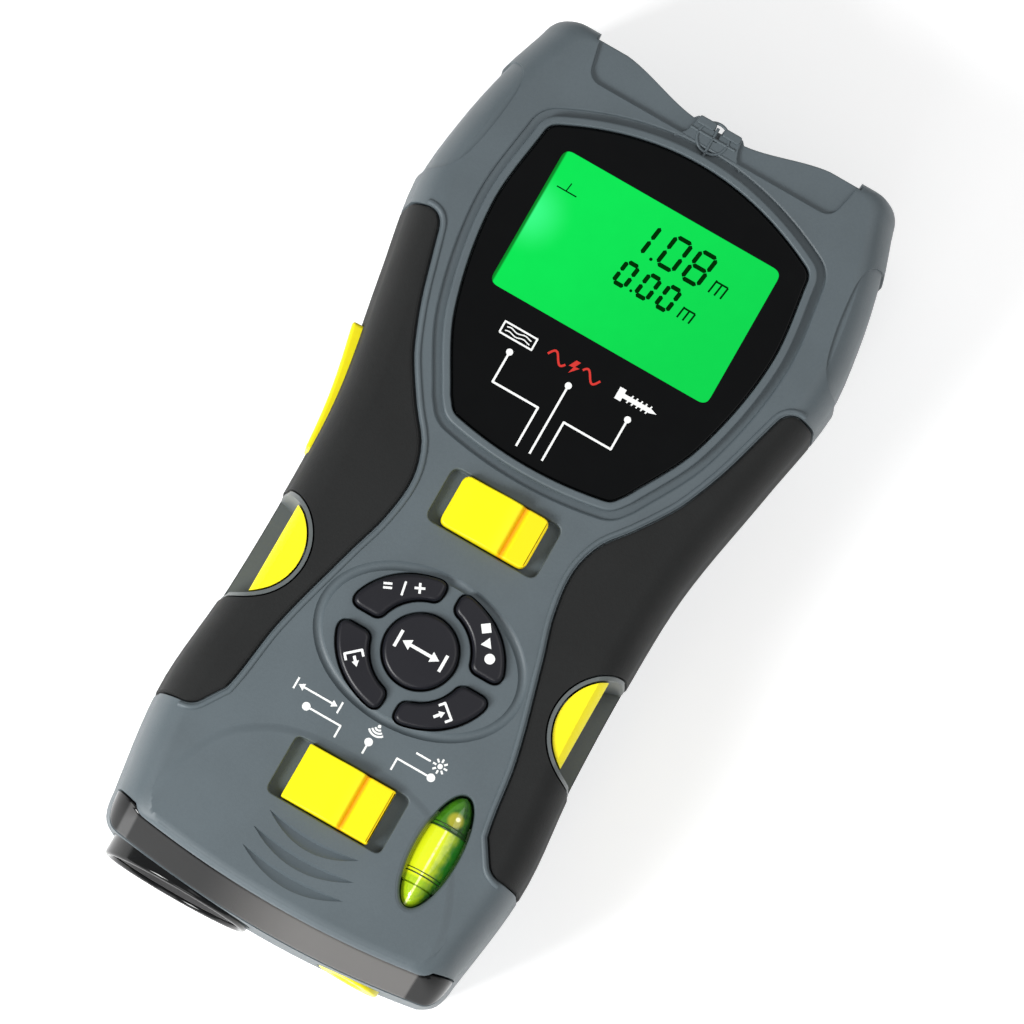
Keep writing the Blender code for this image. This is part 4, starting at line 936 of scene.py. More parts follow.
def polished(name, colour, roughness=0.1, **constants):
    """Polished plastic or glass: almost smooth, with faint smudges."""
    finish = Finish(name, Coat_Roughness=0.03, **constants)
    smudge = finish.band(finish.noise(9.0, 4.0, 0.6), 0.45, 0.75)
    finish.set("Base Color", finish.mix(finish.noise(3.0, 3.0), shade(colour, 0.9), shade(colour, 1.12)))
    finish.set("Roughness", roughness + smudge * 0.07)
    finish.set("Normal", finish.bump(finish.noise(5.0, 2.0), 0.006))
    return finish.material


def metal(name, colour, roughness=0.28, streak=(0.15, 0.15, 3.0)):
    """Machined or plated metal with fine streaks."""
    finish = Finish(name, Metallic=1.0)
    spread = finish.add("ShaderNodeMapping", None, {"Vector": finish.place(), "Scale": tuple(
        1.0 / (size * MM) for size in streak)})
    lines = finish.add("ShaderNodeTexNoise", None, {"Vector": spread, "Scale": 1.0, "Detail": 4.0})
    finish.set("Base Color", finish.mix(lines, shade(colour, 0.82), shade(colour, 1.1)))
    finish.set("Roughness", roughness - 0.08 + lines * 0.16)
    finish.set("Normal", finish.bump(lines, 0.006))
    return finish.material


def circuit_board(name, colour):
    """Solder mask over copper tracks."""
    finish = Finish(name, Coat_Weight=0.4)
    tracks = finish.add("ShaderNodeTexBrick", {"offset": 0.5},
                        {"Vector": finish.place(), "Scale": 220.0, "Mortar Size": 0.05,
                         "Color1": (0, 0, 0, 1), "Color2": (0, 0, 0, 1),
                         "Mortar": (1, 1, 1, 1)}, output="Fac")
    pads = 1 - finish.band(finish.cells(2.6), 0.16, 0.2)
    base = finish.mix(tracks, shade(colour, 0.8), shade(colour, 1.7))
    finish.set("Base Color", finish.mix(pads, base, srgb(196, 190, 170)))
    finish.set("Roughness", 0.35 + finish.noise(0.8) * 0.15)
    finish.set("Normal", finish.bump(tracks + pads, 0.03))
    return finish.material


def wound(name, colour, pitch=0.35):
    """Enamelled winding: bright turns with a dark line between them."""
    finish = Finish(name, Metallic=1.0)
    turns = finish.add("ShaderNodeTexWave", {"wave_type": "BANDS", "bands_direction": "Z"},
                       {"Vector": finish.place(), "Scale": 0.05 / (pitch * MM) * 6.28, "Distortion": 0.6},
                       output=1)
    finish.set("Base Color", finish.mix(turns, shade(colour, 0.35), colour))
    finish.set("Roughness", 0.4 - turns * 0.12)
    finish.set("Normal", finish.bump(turns, 0.08))
    return finish.material


def lit_display(name, colour):
    """Backlit green with a painted pale highlight at its left edge and a faint dark edge there."""
    finish = Finish(name, Emission_Strength=0.93, Specular_IOR_Level=0.1)
    x = (finish.axis("X") / MM + DISPLAY_VIEW[0] / 2) / 8.0
    y = (finish.axis("Y") / MM - DISPLAY_Y - 0.8) / 8.0
    # painted highlight: a pale round patch about 8 mm across at the left edge of the view
    spread = finish.band((x * x + y * y) ** 0.5, 0.0, 1.0)
    across = finish.band(finish.axis("X") / MM + (finish.axis("Y") / MM - DISPLAY_Y) * -0.5, -22.0, 26.0)
    body = finish.mix(across, shade(colour, 1.14), shade(colour, 0.93))
    body = finish.mix(finish.noise(7.0, 2.0) * 0.25, body, shade(colour, 0.86))
    # the display green with the painted pale highlight mixed in
    green_with_highlight = finish.mix(spread, srgb(60, 255, 140), body)
    edge = finish.band(x * 8.0, 0.35, 0.75)
    finish.set("Emission Color", finish.mix(edge, srgb(0, 120, 30), green_with_highlight))
    finish.set("Base Color", finish.mix(finish.noise(2.0), shade(colour, 0.06), shade(colour, 0.1)))
    finish.set("Roughness", 0.3 + finish.noise(4.0) * 0.06)
    return finish.material


def smoked_band(name, colour):
    """Smoked end band: black at its left and both corners, with a paler reflection right of its middle."""
    finish = Finish(name, Specular_IOR_Level=0.1, Coat_Roughness=0.06)
    x = finish.axis("X") / MM
    right = finish.band(x, -14.0, 8.0) * (1 - finish.band(x, 26.2, 26.8))
    left = finish.band(x, -29.6, -29.0) * (1 - finish.band(x, -27.6, -27.0))
    finish.set("Base Color", finish.mix(right, finish.mix(finish.noise(3.0), shade(colour, 0.85), colour),
                                        srgb(72, 70, 68)))
    finish.set("Coat Weight", 0.12 + right * 0.5 + left * 0.8)
    finish.set("Roughness", 0.16 + finish.noise(5.0) * 0.08)
    finish.set("Normal", finish.bump(finish.noise(8.0, 2.0), 0.008))
    return finish.material


def yellow_with_valley_shade(name, colour, valley):
    """Yellow of a slider, with painted orange shade in the valley across it and a little warmer beyond."""
    finish = Finish(name, Specular_IOR_Level=0.35)
    x = finish.axis("X") / MM - valley
    # painted shade: a band of orange along the valley across the slider
    valley_shade = finish.band(x, -1.1, -0.1) * (1 - finish.band(x, 0.05, 0.8))
    beyond = finish.band(x, 0.0, 1.0)
    base = finish.mix(beyond * 0.6, colour, srgb(255, 214, 0))
    base = finish.mix(finish.noise(4.0) * 0.15, base, shade(colour, 0.93))
    # mixes the painted orange valley shade into the yellow
    finish.set("Base Color", finish.mix(valley_shade * 0.75, base, srgb(255, 150, 0)))
    finish.set("Roughness", 0.4 + finish.noise(6.0) * 0.08)
    finish.set("Normal", finish.bump(finish.noise(0.5, 3.0), 0.006))
    return finish.material


def vial_tint_and_painted_light(name, colour):
    """Yellow-green acrylic with painted light: painted shade from its bright left to green at its right, dark
    ends, a gold ball that is the rounded upper end drawn with a painted highlight, a painted glint and
    highlight streak, and a faint painted glow.
    """
    # the emission is a painted glow: the vial is no lamp
    finish = Finish(name, Coat_Weight=0.5, Coat_Roughness=0.03, Emission_Strength=0.3)
    across = (finish.axis("X") / MM - VIAL_MIDDLE.x) / 3.5
    along = finish.axis("Y") / MM - LOWER_Y
    upper = finish.band(along, 3.5, 3.9)
    lower = 1 - finish.band(along, -5.7, -5.1)
    wobble = finish.noise(1.3, 3.0) - 0.5
    # painted shade: the tube turns from bright yellow-green at its left to dark green at its right
    right = finish.band(across + wobble * 0.6, -0.15, 0.85)
    grain = finish.noise(0.5, 3.0)
    body = finish.mix(right, finish.mix(grain * 0.35, colour, shade(colour, 0.7)), srgb(22, 104, 12))
    tip = finish.mix(right, finish.mix(grain, srgb(120, 168, 16), srgb(178, 196, 22)), srgb(16, 84, 10))
    dark = finish.mix(finish.band(wobble + across * 0.3, -0.3, 0.4), srgb(60, 118, 16), srgb(12, 52, 8))
    # gold ball at the upper end: the rounded end drawn as a painted highlight, then a painted glint on it
    ball_x = across * 3.5 - 0.15
    ball_y = along - 5.9
    far = (ball_x * ball_x + ball_y * ball_y) ** 0.5
    dark = finish.mix(1 - finish.band(far, 0.9, 1.7), dark, srgb(150, 148, 34))
    glint = ((ball_x - 0.3) * (ball_x - 0.3) + (ball_y - 0.35) * (ball_y - 0.35)) ** 0.5
    dark = finish.mix(1 - finish.band(glint, 0.15, 0.55), dark, srgb(252, 246, 190))
    # painted highlight: a pale streak along the tube's axis
    line = finish.add("ShaderNodeMath", {"operation": "ABSOLUTE"}, {0: across * 3.5 + 0.35})
    streak = (1 - finish.band(line, 0.05, 0.3)) * finish.band(grain + wobble, 0.1, 0.6)
    green = finish.mix(upper, finish.mix(lower, body, tip), dark)
    green = finish.mix(streak * (1 - upper) * 0.8, green, srgb(244, 250, 170))
    finish.set("Base Color", green)
    finish.set("Emission Color", green)
    finish.set("Alpha", 0.94 + grain * 0.04)
    finish.set("Roughness", 0.08 + finish.noise(3.0) * 0.06)
    return finish.material


FINISHES = {}


def finishes():
    """All finishes by the name of the record's slot, plus the prints."""
    if FINISHES:
        return FINISHES
    c = colours()
    FINISHES.update({
        "shell_grey": moulded("Satin blue-grey shell", c.shell, 0.5, 0.42, 0.02, Specular_IOR_Level=0.45),
        "inner_grey": moulded("Recess grey", c.inner, 0.42, 0.6, 0.01),
        "grip_rubber": moulded("Grip rubber", c.rubber, 0.74, 0.6, 0.05, 0.12, Specular_IOR_Level=0.3),
        "black_gloss": polished("Smoked black gloss", c.gloss, 0.12, Coat_Weight=0.0,
                                Specular_IOR_Level=0.35),
        "window_panel": polished("Window gloss", c.gloss, 0.1, Specular_IOR_Level=0.12),
        "black_matte": moulded("Matte black plastic", srgb(34, 34, 35), 0.55, 0.5, 0.02),
        "key_black": moulded("Key blue-black", c.keys, 0.38, 0.5, 0.008, 0.1, Specular_IOR_Level=0.4),
        "yellow": moulded("Yellow plastic", c.yellow, 0.4, 0.5, 0.006, 0.03, Coat_Weight=0.1),
        "display": lit_display("Lit green display", c.display),
        "white_plastic": moulded("White plastic", srgb(236, 236, 232), 0.4, 0.6, 0.01, 0.02),
        "vial_green": vial_tint_and_painted_light("Vial acrylic", c.vial),
        "end_band": smoked_band("Smoked end band", c.gloss),
        "lower_yellow": yellow_with_valley_shade("Lower slider yellow", c.yellow, 3.0),
        "upper_yellow": yellow_with_valley_shade("Upper slider yellow", c.yellow, 3.6),
        "bubble": polished("Air bubble", srgb(246, 250, 214), 0.05, Alpha=0.75),
        "pale_rubber": moulded("Silicone rubber", srgb(206, 206, 204), 0.65, 0.8, 0.02),
        "board_green": circuit_board("Solder mask", srgb(16, 98, 52)),
        "steel": metal("Plated steel", srgb(196, 196, 198)),
        "sensor_can": metal("Drawn aluminium", srgb(212, 213, 214), 0.32, (0.1, 4.0, 0.1)),
        "brass": metal("Turned brass", srgb(203, 168, 96), 0.25, (4.0, 0.1, 4.0)),
        "laser_glass": polished("Laser lens", srgb(34, 8, 10), 0.04, Coat_Weight=1.0),
        "coil_copper": wound("Copper winding", srgb(214, 128, 82)),
        "battery_case": moulded("Battery jacket", srgb(40, 42, 46), 0.3, 1.2, 0.01, 0.1, Metallic=0.6),
        "white_print": moulded("White ink", c.white_print, 0.5, 0.3, 0.002, 0.03),
        "red_print": moulded("Red ink", c.red_print, 0.5, 0.3, 0.002, 0.05),
        "segment_ink": moulded("Display segments", c.segments, 0.7, 0.4, 0.001, 0.1, Specular_IOR_Level=0.0),
        "dark_line": moulded("Dark line", srgb(30, 60, 8), 0.4, 0.4, 0.002, 0.1),
    })
    return FINISHES


# ---------------------------------------------------------------- the casing as a solid

def casing(name, inset=0.0, low=0.0, high=BODY_DEPTH, head_extra=0.0):
    """The casing's form between two heights, drawn in by an inset."""
    heights = [low, high, WIDEST_HEIGHT, PARTING]
    heights += [BACK_ROUND * (1 - math.cos(math.radians(angle))) for angle in range(15, 91, 15)]
    heights += [6, 10, 14, 17, 19, 20.5, 23.5, 25, 27, 29]
    heights += [PARTING + FRONT_DEPTH * math.sin(math.radians(angle)) for angle in range(6, 90, 6)]
    rings = []
    for height in sorted({height for height in heights if low <= height <= high}):
        level = max(height, BACK_ROUND) if inset > 0 else height
        outline = body_outline(side_inset(level) + inset, sensor_inset(level) + inset,
                               head_inset(level) + inset + head_extra)
        rings.append((outline, height))
    return loft(name, rings)


def skin_pocket(name, outline, depth, low, high):
    """The casing's skin to a depth, within a plan outline and between two heights."""
    space = prism(name, outline, low, high)
    core = casing(name + "_core", inset=depth, low=-2.0, high=BODY_DEPTH - depth)
    return shape_with(space, ("cut", core))


def grip_outline(sign, margin):
    region = grip_region(margin)
    return flipped(region) if sign > 0 else region


def cup_cutter(sign, radius, low, high=BODY_DEPTH + 5):
    return rod("cup", radius, (sign * CUP_X, CUP_Y, low), (sign * CUP_X, CUP_Y, high), 96)


def trigger_gate():
    """Cutter for the trigger's opening in the left side."""
    middle = y_at(TRIGGER_STATION)
    half_y, half_z = TRIGGER_LENGTH / 2 + RUN_GAP, TRIGGER_HEIGHT / 2 + RUN_GAP
    return block("trigger_gate", (-60, middle - half_y, TRIGGER_Z - half_z),
                 (-20, middle + half_y, TRIGGER_Z + half_z))


def side_pockets(cup_low):
    """Cutters for the head's side panels, the grips and the thumb recesses."""
    pockets = [skin_pocket("panel", side_panel_outline(sign), 0.5, 8.0, 46.0) for sign in (-1, 1)]
    for sign in (-1, 1):
        pockets.append(skin_pocket("grip_pocket", grip_outline(sign, GAP), GRIP_THICKNESS + GAP,
                                   GRIP_LOW - GAP, BODY_DEPTH + 3))
        pockets.append(cup_cutter(sign, CUP_RADIUS, cup_low))
    return pockets


def post_places():
    low_x = half_width(26.0) - WALL - 4.0 + 0.2
    high_x = half_width(BODY_LENGTH - 20.4) - WALL - UPPER_DRAFT - 4.0
    places = []
    for sign in (-1, 1):
        places.append((sign * low_x, y_at(26.0)))
        places.append((sign * high_x, y_at(BODY_LENGTH - 20.4)))
    return places


def head_dip_cutter():
    """The hollow between the ears, with two small sighting tabs and a notch between them."""
    end = y_at(BODY_LENGTH)
    half = [(0.6, end - HEAD_DIP), (0.7, end - HEAD_DIP + 0.8), (4.3, end - HEAD_DIP + 0.9),
            (4.9, end - HEAD_DIP + 0.2)]
    for index in range(1, 25):
        t = index / 24
        ease = t * t * (3 - 2 * t)
        half.append((4.9 + (DIP_HALF - 4.9) * t,
                     end - HEAD_DIP + 0.2 + (HEAD_DIP - HEAD_STEP - 0.2) * (0.45 * t + 0.55 * ease)))
    half += [(EAR_GAP, end - HEAD_STEP), (EAR_GAP, end + 5)]
    outline = half + [(-x, y) for x, y in reversed(half)]
    surface = BODY_DEPTH - PLATE_DROP
    rings = [(outline, -2.0)]
    rings += [(grown(outline, 0.35 * cosine), surface - 0.35 * sine) for cosine, sine in quarter(3)]
    rings.append((grown(outline, 0.35), BODY_DEPTH + 3))
    return loft("head_dip", rings)


def head_plate_outline():
    end = y_at(BODY_LENGTH)
    low = WINDOW_START + WINDOW_LENGTH + 3.4
    loop = [(-EAR_GAP + 1.9, low), (EAR_GAP - 1.9, low), (EAR_GAP, low + 8.0), (EAR_GAP, end + 4),
            (-EAR_GAP, end + 4), (-EAR_GAP, low + 8.0)]
    return rounded(loop, 2.8, 8)


def band_plan(margin):
    """Plan area of the end band: deeper at its corners, where it runs up the sides."""
    half = [(0.0, 6.4), (13.0, 6.4), (24.0, 6.5), (27.0, 6.9), (30.0, 7.8), (33.5, 8.9), (90.0, 8.9)]
    back = [(x, y_at(station + margin)) for x, station in reversed(half)]
    return [(-90, -120), (90, -120)] + back + [(-x, y) for x, y in reversed(back) if x > 0]


def side_panel_outline(sign):
    """Plan area of the shallow panel on one side of the head."""
    edge = smooth_path([(36.6, 149.6), (34.2, 148.4), (33.1, 145.6), (33.2, 141.0), (34.1, 134.5),
                        (35.6, 129.4), (38.2, 126.6), (41.4, 125.8)], 6)
    loop = [(x, y_at(station)) for x, station in edge] + [(60, y_at(125.8)), (60, y_at(149.9)),
                                                         (40, y_at(149.9))]
    return loop if sign > 0 else flipped(loop)


def plateau_outline():
    half = smooth_path([(27.9, 5.7), (27.3, 9.0), (26.1, 16.2), (22.4, 24.0), (18.0, 28.2), (13.0, 30.7),
                        (7.0, 31.9), (0.0, 32.2)], 6)
    half = [(x, y_at(station)) for x, station in half]
    foot = [(27.9 * step / 8, y_at(5.3 + end_bow(27.9 * step / 8))) for step in range(8)]
    return mirrored(foot + half[1:-1] + [(0.0, half[-1][1])])


def crescents():
    """Cutters for the three shallow crescents below the lower slider, deeper along their upper side."""
    rings = []
    for step in range(33):
        t = -1 + step / 16
        swell = max(1 - t * t, 0.004)
        near, far = -3.0 * swell, -0.65 * swell
        depth = -0.75 * swell ** 0.6
        section = ((near, 1.5), (near, 0.0), (near + 0.35 * (far - near), depth * 0.7),
                   (far + 0.2 * (near - far), depth), (far, 0.0), (far, 1.5))
        rings.append([(t, y, z) for y, z in section])
    item = skinned("crescent", rings)
    surface = BODY_DEPTH + sizes().plateau + 0.02
    places = []
    for index in range(3):
        station = LOWER_Y - LOWER_SLOT[1] / 2 - START_Y - (2.5 + 3.6 * index)
        places.append(((-0.1, y_at(station), surface), 0.0, (8.6 + 1.1 * min(index, 1), 1.0, 1.0)))
    return copies("crescents", item, places, finishes()["shell_grey"])


def shell_front():
    """Front cover with every opening and moulding of the display face."""
    s = sizes()
    cover = casing("front_shell")
    cavity = casing("cavity", WALL, WALL, UNDERSIDE, HEAD_DIP)
    below = block("below", (-90, -120, -5), (90, 120, PARTING + GAP / 2))
    window = window_outline()
    r = 0.42
    top = BODY_DEPTH + RIDGE_HEIGHT
    arc = [(WINDOW_RIDGE - r + r * math.sin(a), top - r + r * math.cos(a))
           for a in (math.pi / 2 * step / 4 for step in range(5))]
    inner_arc = [(r - r * math.sin(a) - 0.3, top - r + r * math.cos(a))
                 for a in (math.pi / 2 * step / 4 for step in range(4, -1, -1))]
    ridge = ring_of("ridge", window, [(-0.3, UNDERSIDE + 1.5), (WINDOW_RIDGE, UNDERSIDE + 1.5)]
                    + arc[::-1] + inner_arc[::-1])
    g0, g1 = WINDOW_RIDGE - 0.5, WINDOW_RIDGE + GROOVE_WIDTH
    groove = ring_of("groove", window, [(g0, 44), (g0, BODY_DEPTH - 0.6), (g1 - 0.4, BODY_DEPTH - 0.6),
                                        (g1 - 0.1, BODY_DEPTH - 0.45), (g1, BODY_DEPTH - 0.15),
                                        (g1 + 0.25, BODY_DEPTH), (g1 + 0.25, 44)])
    seat = recess("seat", window, LENS_TOP - LENS_THICKNESS - GAP, top, 0.3, 0.05)
    view = rectangle((0, DISPLAY_Y), (DISPLAY_VIEW[0] + 2.6, DISPLAY_VIEW[1] + 2.6))
    opening = prism("opening", rounded(view, 1.5), UNDERSIDE - 2, BODY_DEPTH)
    arch = plateau_outline()
    slope = [(grown(arch, 0.9), BODY_DEPTH - 1.2)]
    for step in range(9):
        t = step / 8
        rise = (s.plateau + 0.01) * t * t * (3 - 2 * t)
        slope.append((grown(arch, 0.9 - 1.8 * t), BODY_DEPTH - 0.01 + rise))
    plateau = shape_with(loft("plateau", slope), ("keep", casing("bound", 0.0, 30.0, BODY_DEPTH + 0.6)))
    oval = ellipse((0, KEYS_Y), (KEYPAD[0] / 2, KEYPAD[1] / 2), 120)
    section = [(0.35 - 1.7 * step / 10, BODY_DEPTH - 0.55 * math.sin(math.pi * step / 10) ** 0.8)
               for step in range(11)]
    keypad = ring_of("keypad_groove", oval, [(0.35, 44), *section, (-1.35, 44)])
    holes = []
    for sign_x in (-1, 1):
        for sign_y in (-1, 1):
            holes.append(recess("key_opening", grown(sector_outline(sign_x, sign_y), RUN_GAP),
                                UNDERSIDE - 2, BODY_DEPTH, 0.25, 0.0, 3))
    read = ellipse((0, KEYS_Y), (READ_RADIUS + RUN_GAP, READ_RADIUS + RUN_GAP), 72)
    holes.append(recess("read_opening", read, UNDERSIDE - 2, BODY_DEPTH, 0.25, 0.0, 3))
    for centre_y, slot, width, corner, surface in (
            (LOWER_Y, LOWER_SLOT, LOWER_SLIDER_WIDTH, 1.3, BODY_DEPTH + s.plateau),
            (UPPER_Y, UPPER_SLOT, UPPER_SLIDER_WIDTH, 1.6, BODY_DEPTH)):
        bed = rounded(rectangle((0, centre_y), slot), corner)
        holes.append(recess("slot_bed", bed, BODY_DEPTH - SLOT_DEPTH - GAP, surface, 0.3, 0.15))
        travel = (slot[0] - width) / 2 - RUN_GAP
        gate = (STEM[0] + 2 * travel + 2 * RUN_GAP, STEM[1] + 2 * RUN_GAP)
        holes.append(prism("slot_gate", rectangle((0, centre_y), gate), UNDERSIDE - 2, BODY_DEPTH))
    almond = ellipse((VIAL_MIDDLE.x, VIAL_MIDDLE.y), VIAL_WINDOW, 96)
    holes.append(recess("vial_opening", almond, UNDERSIDE - 2, BODY_DEPTH + 0.25, 0.8, 0.0, 5))
    plate = recess("head_plate", head_plate_outline(), BODY_DEPTH - PLATE_DROP, BODY_DEPTH, 0.3, 0.25)
    end = y_at(BODY_LENGTH) - HEAD_DIP
    half = [(0.0, end + 0.5), (4.2, end + 0.5), (4.5, end - 1.2), (5.0, end - 2.6), (6.2, end - 4.0),
            (6.4, WINDOW_START + WINDOW_LENGTH + 3.0), (0.0, WINDOW_START + WINDOW_LENGTH + 3.0)]
    outline = half[1:-1] + [(-x, y) for x, y in reversed(half[1:-1])]
    boss = cap("boss", outline, BODY_DEPTH - 2, BODY_DEPTH - 0.1, 0.3, 4)
    notch = block("notch", (-0.6, end - 2.0, BODY_DEPTH - 0.75), (0.6, end + 4.0, BODY_DEPTH + 2))
    tabs = [cap("tab", rounded([(x0, end - 0.5), (x1, end - 0.5), (x1, end + 1.0), (x0, end + 1.0)], 0.5, 4),
                BODY_DEPTH - 2.5, BODY_DEPTH + 0.35, 0.3, 3) for x0, x1 in ((-4.1, -0.75), (0.75, 4.1))]
    posts = [rod("post", 3.2, (x, y, PARTING + GAP / 2), (x, y, UNDERSIDE + 1), 32) for x, y in post_places()]
    bores = [rod("bore", 1.5, (x, y, PARTING - 2), (x, y, UNDERSIDE - 0.5), 24) for x, y in post_places()]
    band_room = prism("band_room", band_plan(GAP), PARTING - 1, BAND_TOP)
    pockets = side_pockets(PARTING - 1)
    return shape_with(cover, ("cut", cavity, below), ("join", *posts), ("cut", groove), ("join", ridge),
                      ("cut", seat, opening), ("join", plateau), ("cut", keypad, *holes, crescents(), plate),
                      ("join", boss), ("cut", head_dip_cutter(), notch, *bores, band_room, *pockets),
                      ("join", *tabs))


def shell_rear():
    """Rear cover with its end wall, screw wells, battery bay and pin holes."""
    cover = casing("rear_shell")
    above = block("above", (-90, -120, PARTING - GAP / 2), (90, 120, 60))
    cavity = casing("cavity", WALL, WALL, UNDERSIDE, HEAD_DIP)
    posts = [rod("post", 4.0, (x, y, WALL - 1), (x, y, PARTING - GAP / 2), 40) for x, y in post_places()]
    holes = []
    for x, y in post_places():
        well = [(0, -1), (3.35, -1), (3.35, 0), (3.0, 0.35), (3.0, 20.0), (0, 20.0)]
        holes.append(turned("well", well, (x, y, 0), (0, 0, 1), 48))
        holes.append(rod("passage", 1.6, (x, y, 19), (x, y, PARTING + 1), 24))
    barrel = (BARREL_HIGH - BARREL_LOW).x / 2
    barrel_x = (BARREL_LOW.x + BARREL_HIGH.x) / 2
    axis_z = (BARREL_LOW.z + BARREL_HIGH.z) / 2
    holes.append(rod("barrel_hole", barrel + GAP, (barrel_x, y_at(-5), axis_z),
                     (barrel_x, y_at(16), axis_z), 96))
    laser_x = (RING_LOW.x + RING_HIGH.x) / 2
    holes.append(rod("laser_hole", (RING_HIGH.x - RING_LOW.x) / 2 + GAP, (laser_x, y_at(-5), axis_z),
                     (laser_x, y_at(WALL + 6), axis_z), 72))
    for sign in (-1, 1):
        x = sign * (CUP_X - PIN_INSET)
        holes.append(rod("pin_hole", PIN_HOLE, (x, CUP_Y, -1), (x, CUP_Y, WALL + 1), 24))
    door_low, door_high = box_mm("battery_door")
    side = door_high.x - HINGE_STUB + GAP
    start = door_low.y - GAP
    holes.append(prism("door_bed", rectangle((0, (start + door_high.y + GAP) / 2),
                                             (2 * side, door_high.y + GAP - start)), -1, door_high.z + GAP))
    cell_low, cell_high = box_mm("battery")
    holes.append(block("way_in", (cell_low.x - 0.45, cell_low.y - 1.5, -1),
                       (cell_high.x + 0.45, cell_low.y + 49.5, WALL + 1)))
    axis_y = door_low.y + HINGE_INSET
    holes.append(block("hinge_seats", (door_low.x - 0.6, axis_y - 1.0, -1),
                       (door_high.x + 0.6, axis_y + 1.0, 2.1)))
    nail = rounded(rectangle((0, door_high.y + 1.5), (12, 4)), 1.4)
    holes.append(recess("nail", nail, 1.2, 2.0, 0.0, 0.0, 1))
    holes[-1].data.transform(Matrix.Translation((0, 0, -2.6)))
    holes.append(trigger_gate())
    pockets = side_pockets(CUP_FLOOR - CUP_BOTTOM - GAP)
    return shape_with(cover, ("cut", cavity), ("join", *posts),
                      ("cut", above, head_dip_cutter(), *holes, *pockets))


# ---------------------------------------------------------------- printed marks

def stroke(points, width):
    """A flat line of a width along points, as separate straight plates with round joints."""
    outlines = []
    for start, end in zip(points, points[1:]):
        along = (Vector(end) - Vector(start)).normalized()
        across = Vector((-along.y, along.x)) * width / 2
        a, b = Vector(start), Vector(end)
        outlines.append([tuple(a - across), tuple(b - across), tuple(b + across), tuple(a + across)])
    for point in points[1:-1]:
        outlines.append(ellipse(point, (width / 2, width / 2), 12))
    return outlines


def placed(outlines, centre, angle=0.0, scale=1.0):
    c, s = math.cos(angle) * scale, math.sin(angle) * scale
    return [[(centre[0] + x * c - y * s, centre[1] + x * s + y * c) for x, y in outline]
            for outline in outlines]


def printed(name, outlines, height, material, body):
    """Flat marks printed on a surface at a height."""
    solids = [prism(name, outline, height - 0.02, height + sizes().ink) for outline in outlines]
    base = solids[0]
    if len(solids) > 1:
        shape_with(base, ("join", *solids[1:]))
    return piece(base, name, finishes()[material], body)


def dots_at(name, places, height, radius):
    """Round printed dots as copies of one disc."""
    ink = finishes()["white_print"]
    dot = prism("dot", ellipse((0, 0), (radius, radius), 24), 0.0, 0.05)
    row = copies("dots", dot, [((x, y, height), 0.0, (1, 1, 1)) for x, y in places], ink)
    return piece(row, name, ink, "casing")


def arrow(start, end, width, head):
    """A line with an arrowhead at its end."""
    along = (Vector(end) - Vector(start)).normalized()
    across = Vector((-along.y, along.x)) * head * 0.62
    neck = Vector(end) - along * head
    return stroke([start, tuple(neck + along * 0.05)], width) + [[tuple(neck - across), tuple(end),
                                                                tuple(neck + across)]]


def span_mark(width, height, line):
    """Two posts with a double arrow between them: the sign for a measured length."""
    half = width / 2
    reach = half - line * 1.4
    head = height * 0.5
    marks = stroke([(-half, -height / 2), (-half, height / 2)], line)
    marks += stroke([(half, -height / 2), (half, height / 2)], line)
    marks += arrow((0, 0), (reach, 0), line, head) + arrow((0, 0), (-reach, 0), line, head)
    return marks


def ray_mark(radius, line):
    """A spot with rays: the sign for a light beam."""
    marks = [ellipse((0, 0), (radius * 0.34, radius * 0.34), 20)]
    for index in range(8):
        angle = math.pi / 4 * index
        marks += stroke([(radius * 0.52 * math.cos(angle), radius * 0.52 * math.sin(angle)),
                         (radius * math.cos(angle), radius * math.sin(angle))], line)
    return marks


def wave_mark(radius, line):
    """A spot with three arcs over it: the sign for searching."""
    marks = [ellipse((0, -radius * 0.45), (line * 0.9, line * 0.9), 16)]
    for share in (0.4, 0.72, 1.04):
        reach = (radius * share, radius * share)
        arc = [turned_point((0, -radius * 0.45), reach, math.radians(angle)) for angle in range(40, 141, 10)]
        marks += stroke(arc, line)
    return marks


def face_marks():
    """Signs, dots and leaders between the keys and the lower slider."""
    line = 0.34
    row = y_at(38.3)
    marks = placed(span_mark(8.4, 2.1, line), (-11.2, row), math.pi)
    marks += placed(wave_mark(1.7, line), (0.3, row - 0.2), math.pi)
    marks += placed(ray_mark(1.35, line) + stroke([(1.8, 0), (4.6, 0)], line), (12.4, row - 0.2), math.pi)
    low, knee = y_at(33.5), y_at(35.7)
    for dot, foot in ((-12.0, -5.4), (12.0, 5.5)):
        marks += stroke([(dot, knee), (foot, knee), (foot, low)], line)
    marks += stroke([(0, knee), (0, low)], line)
    return marks, [(-12.0, knee), (0, knee), (12.0, knee)]


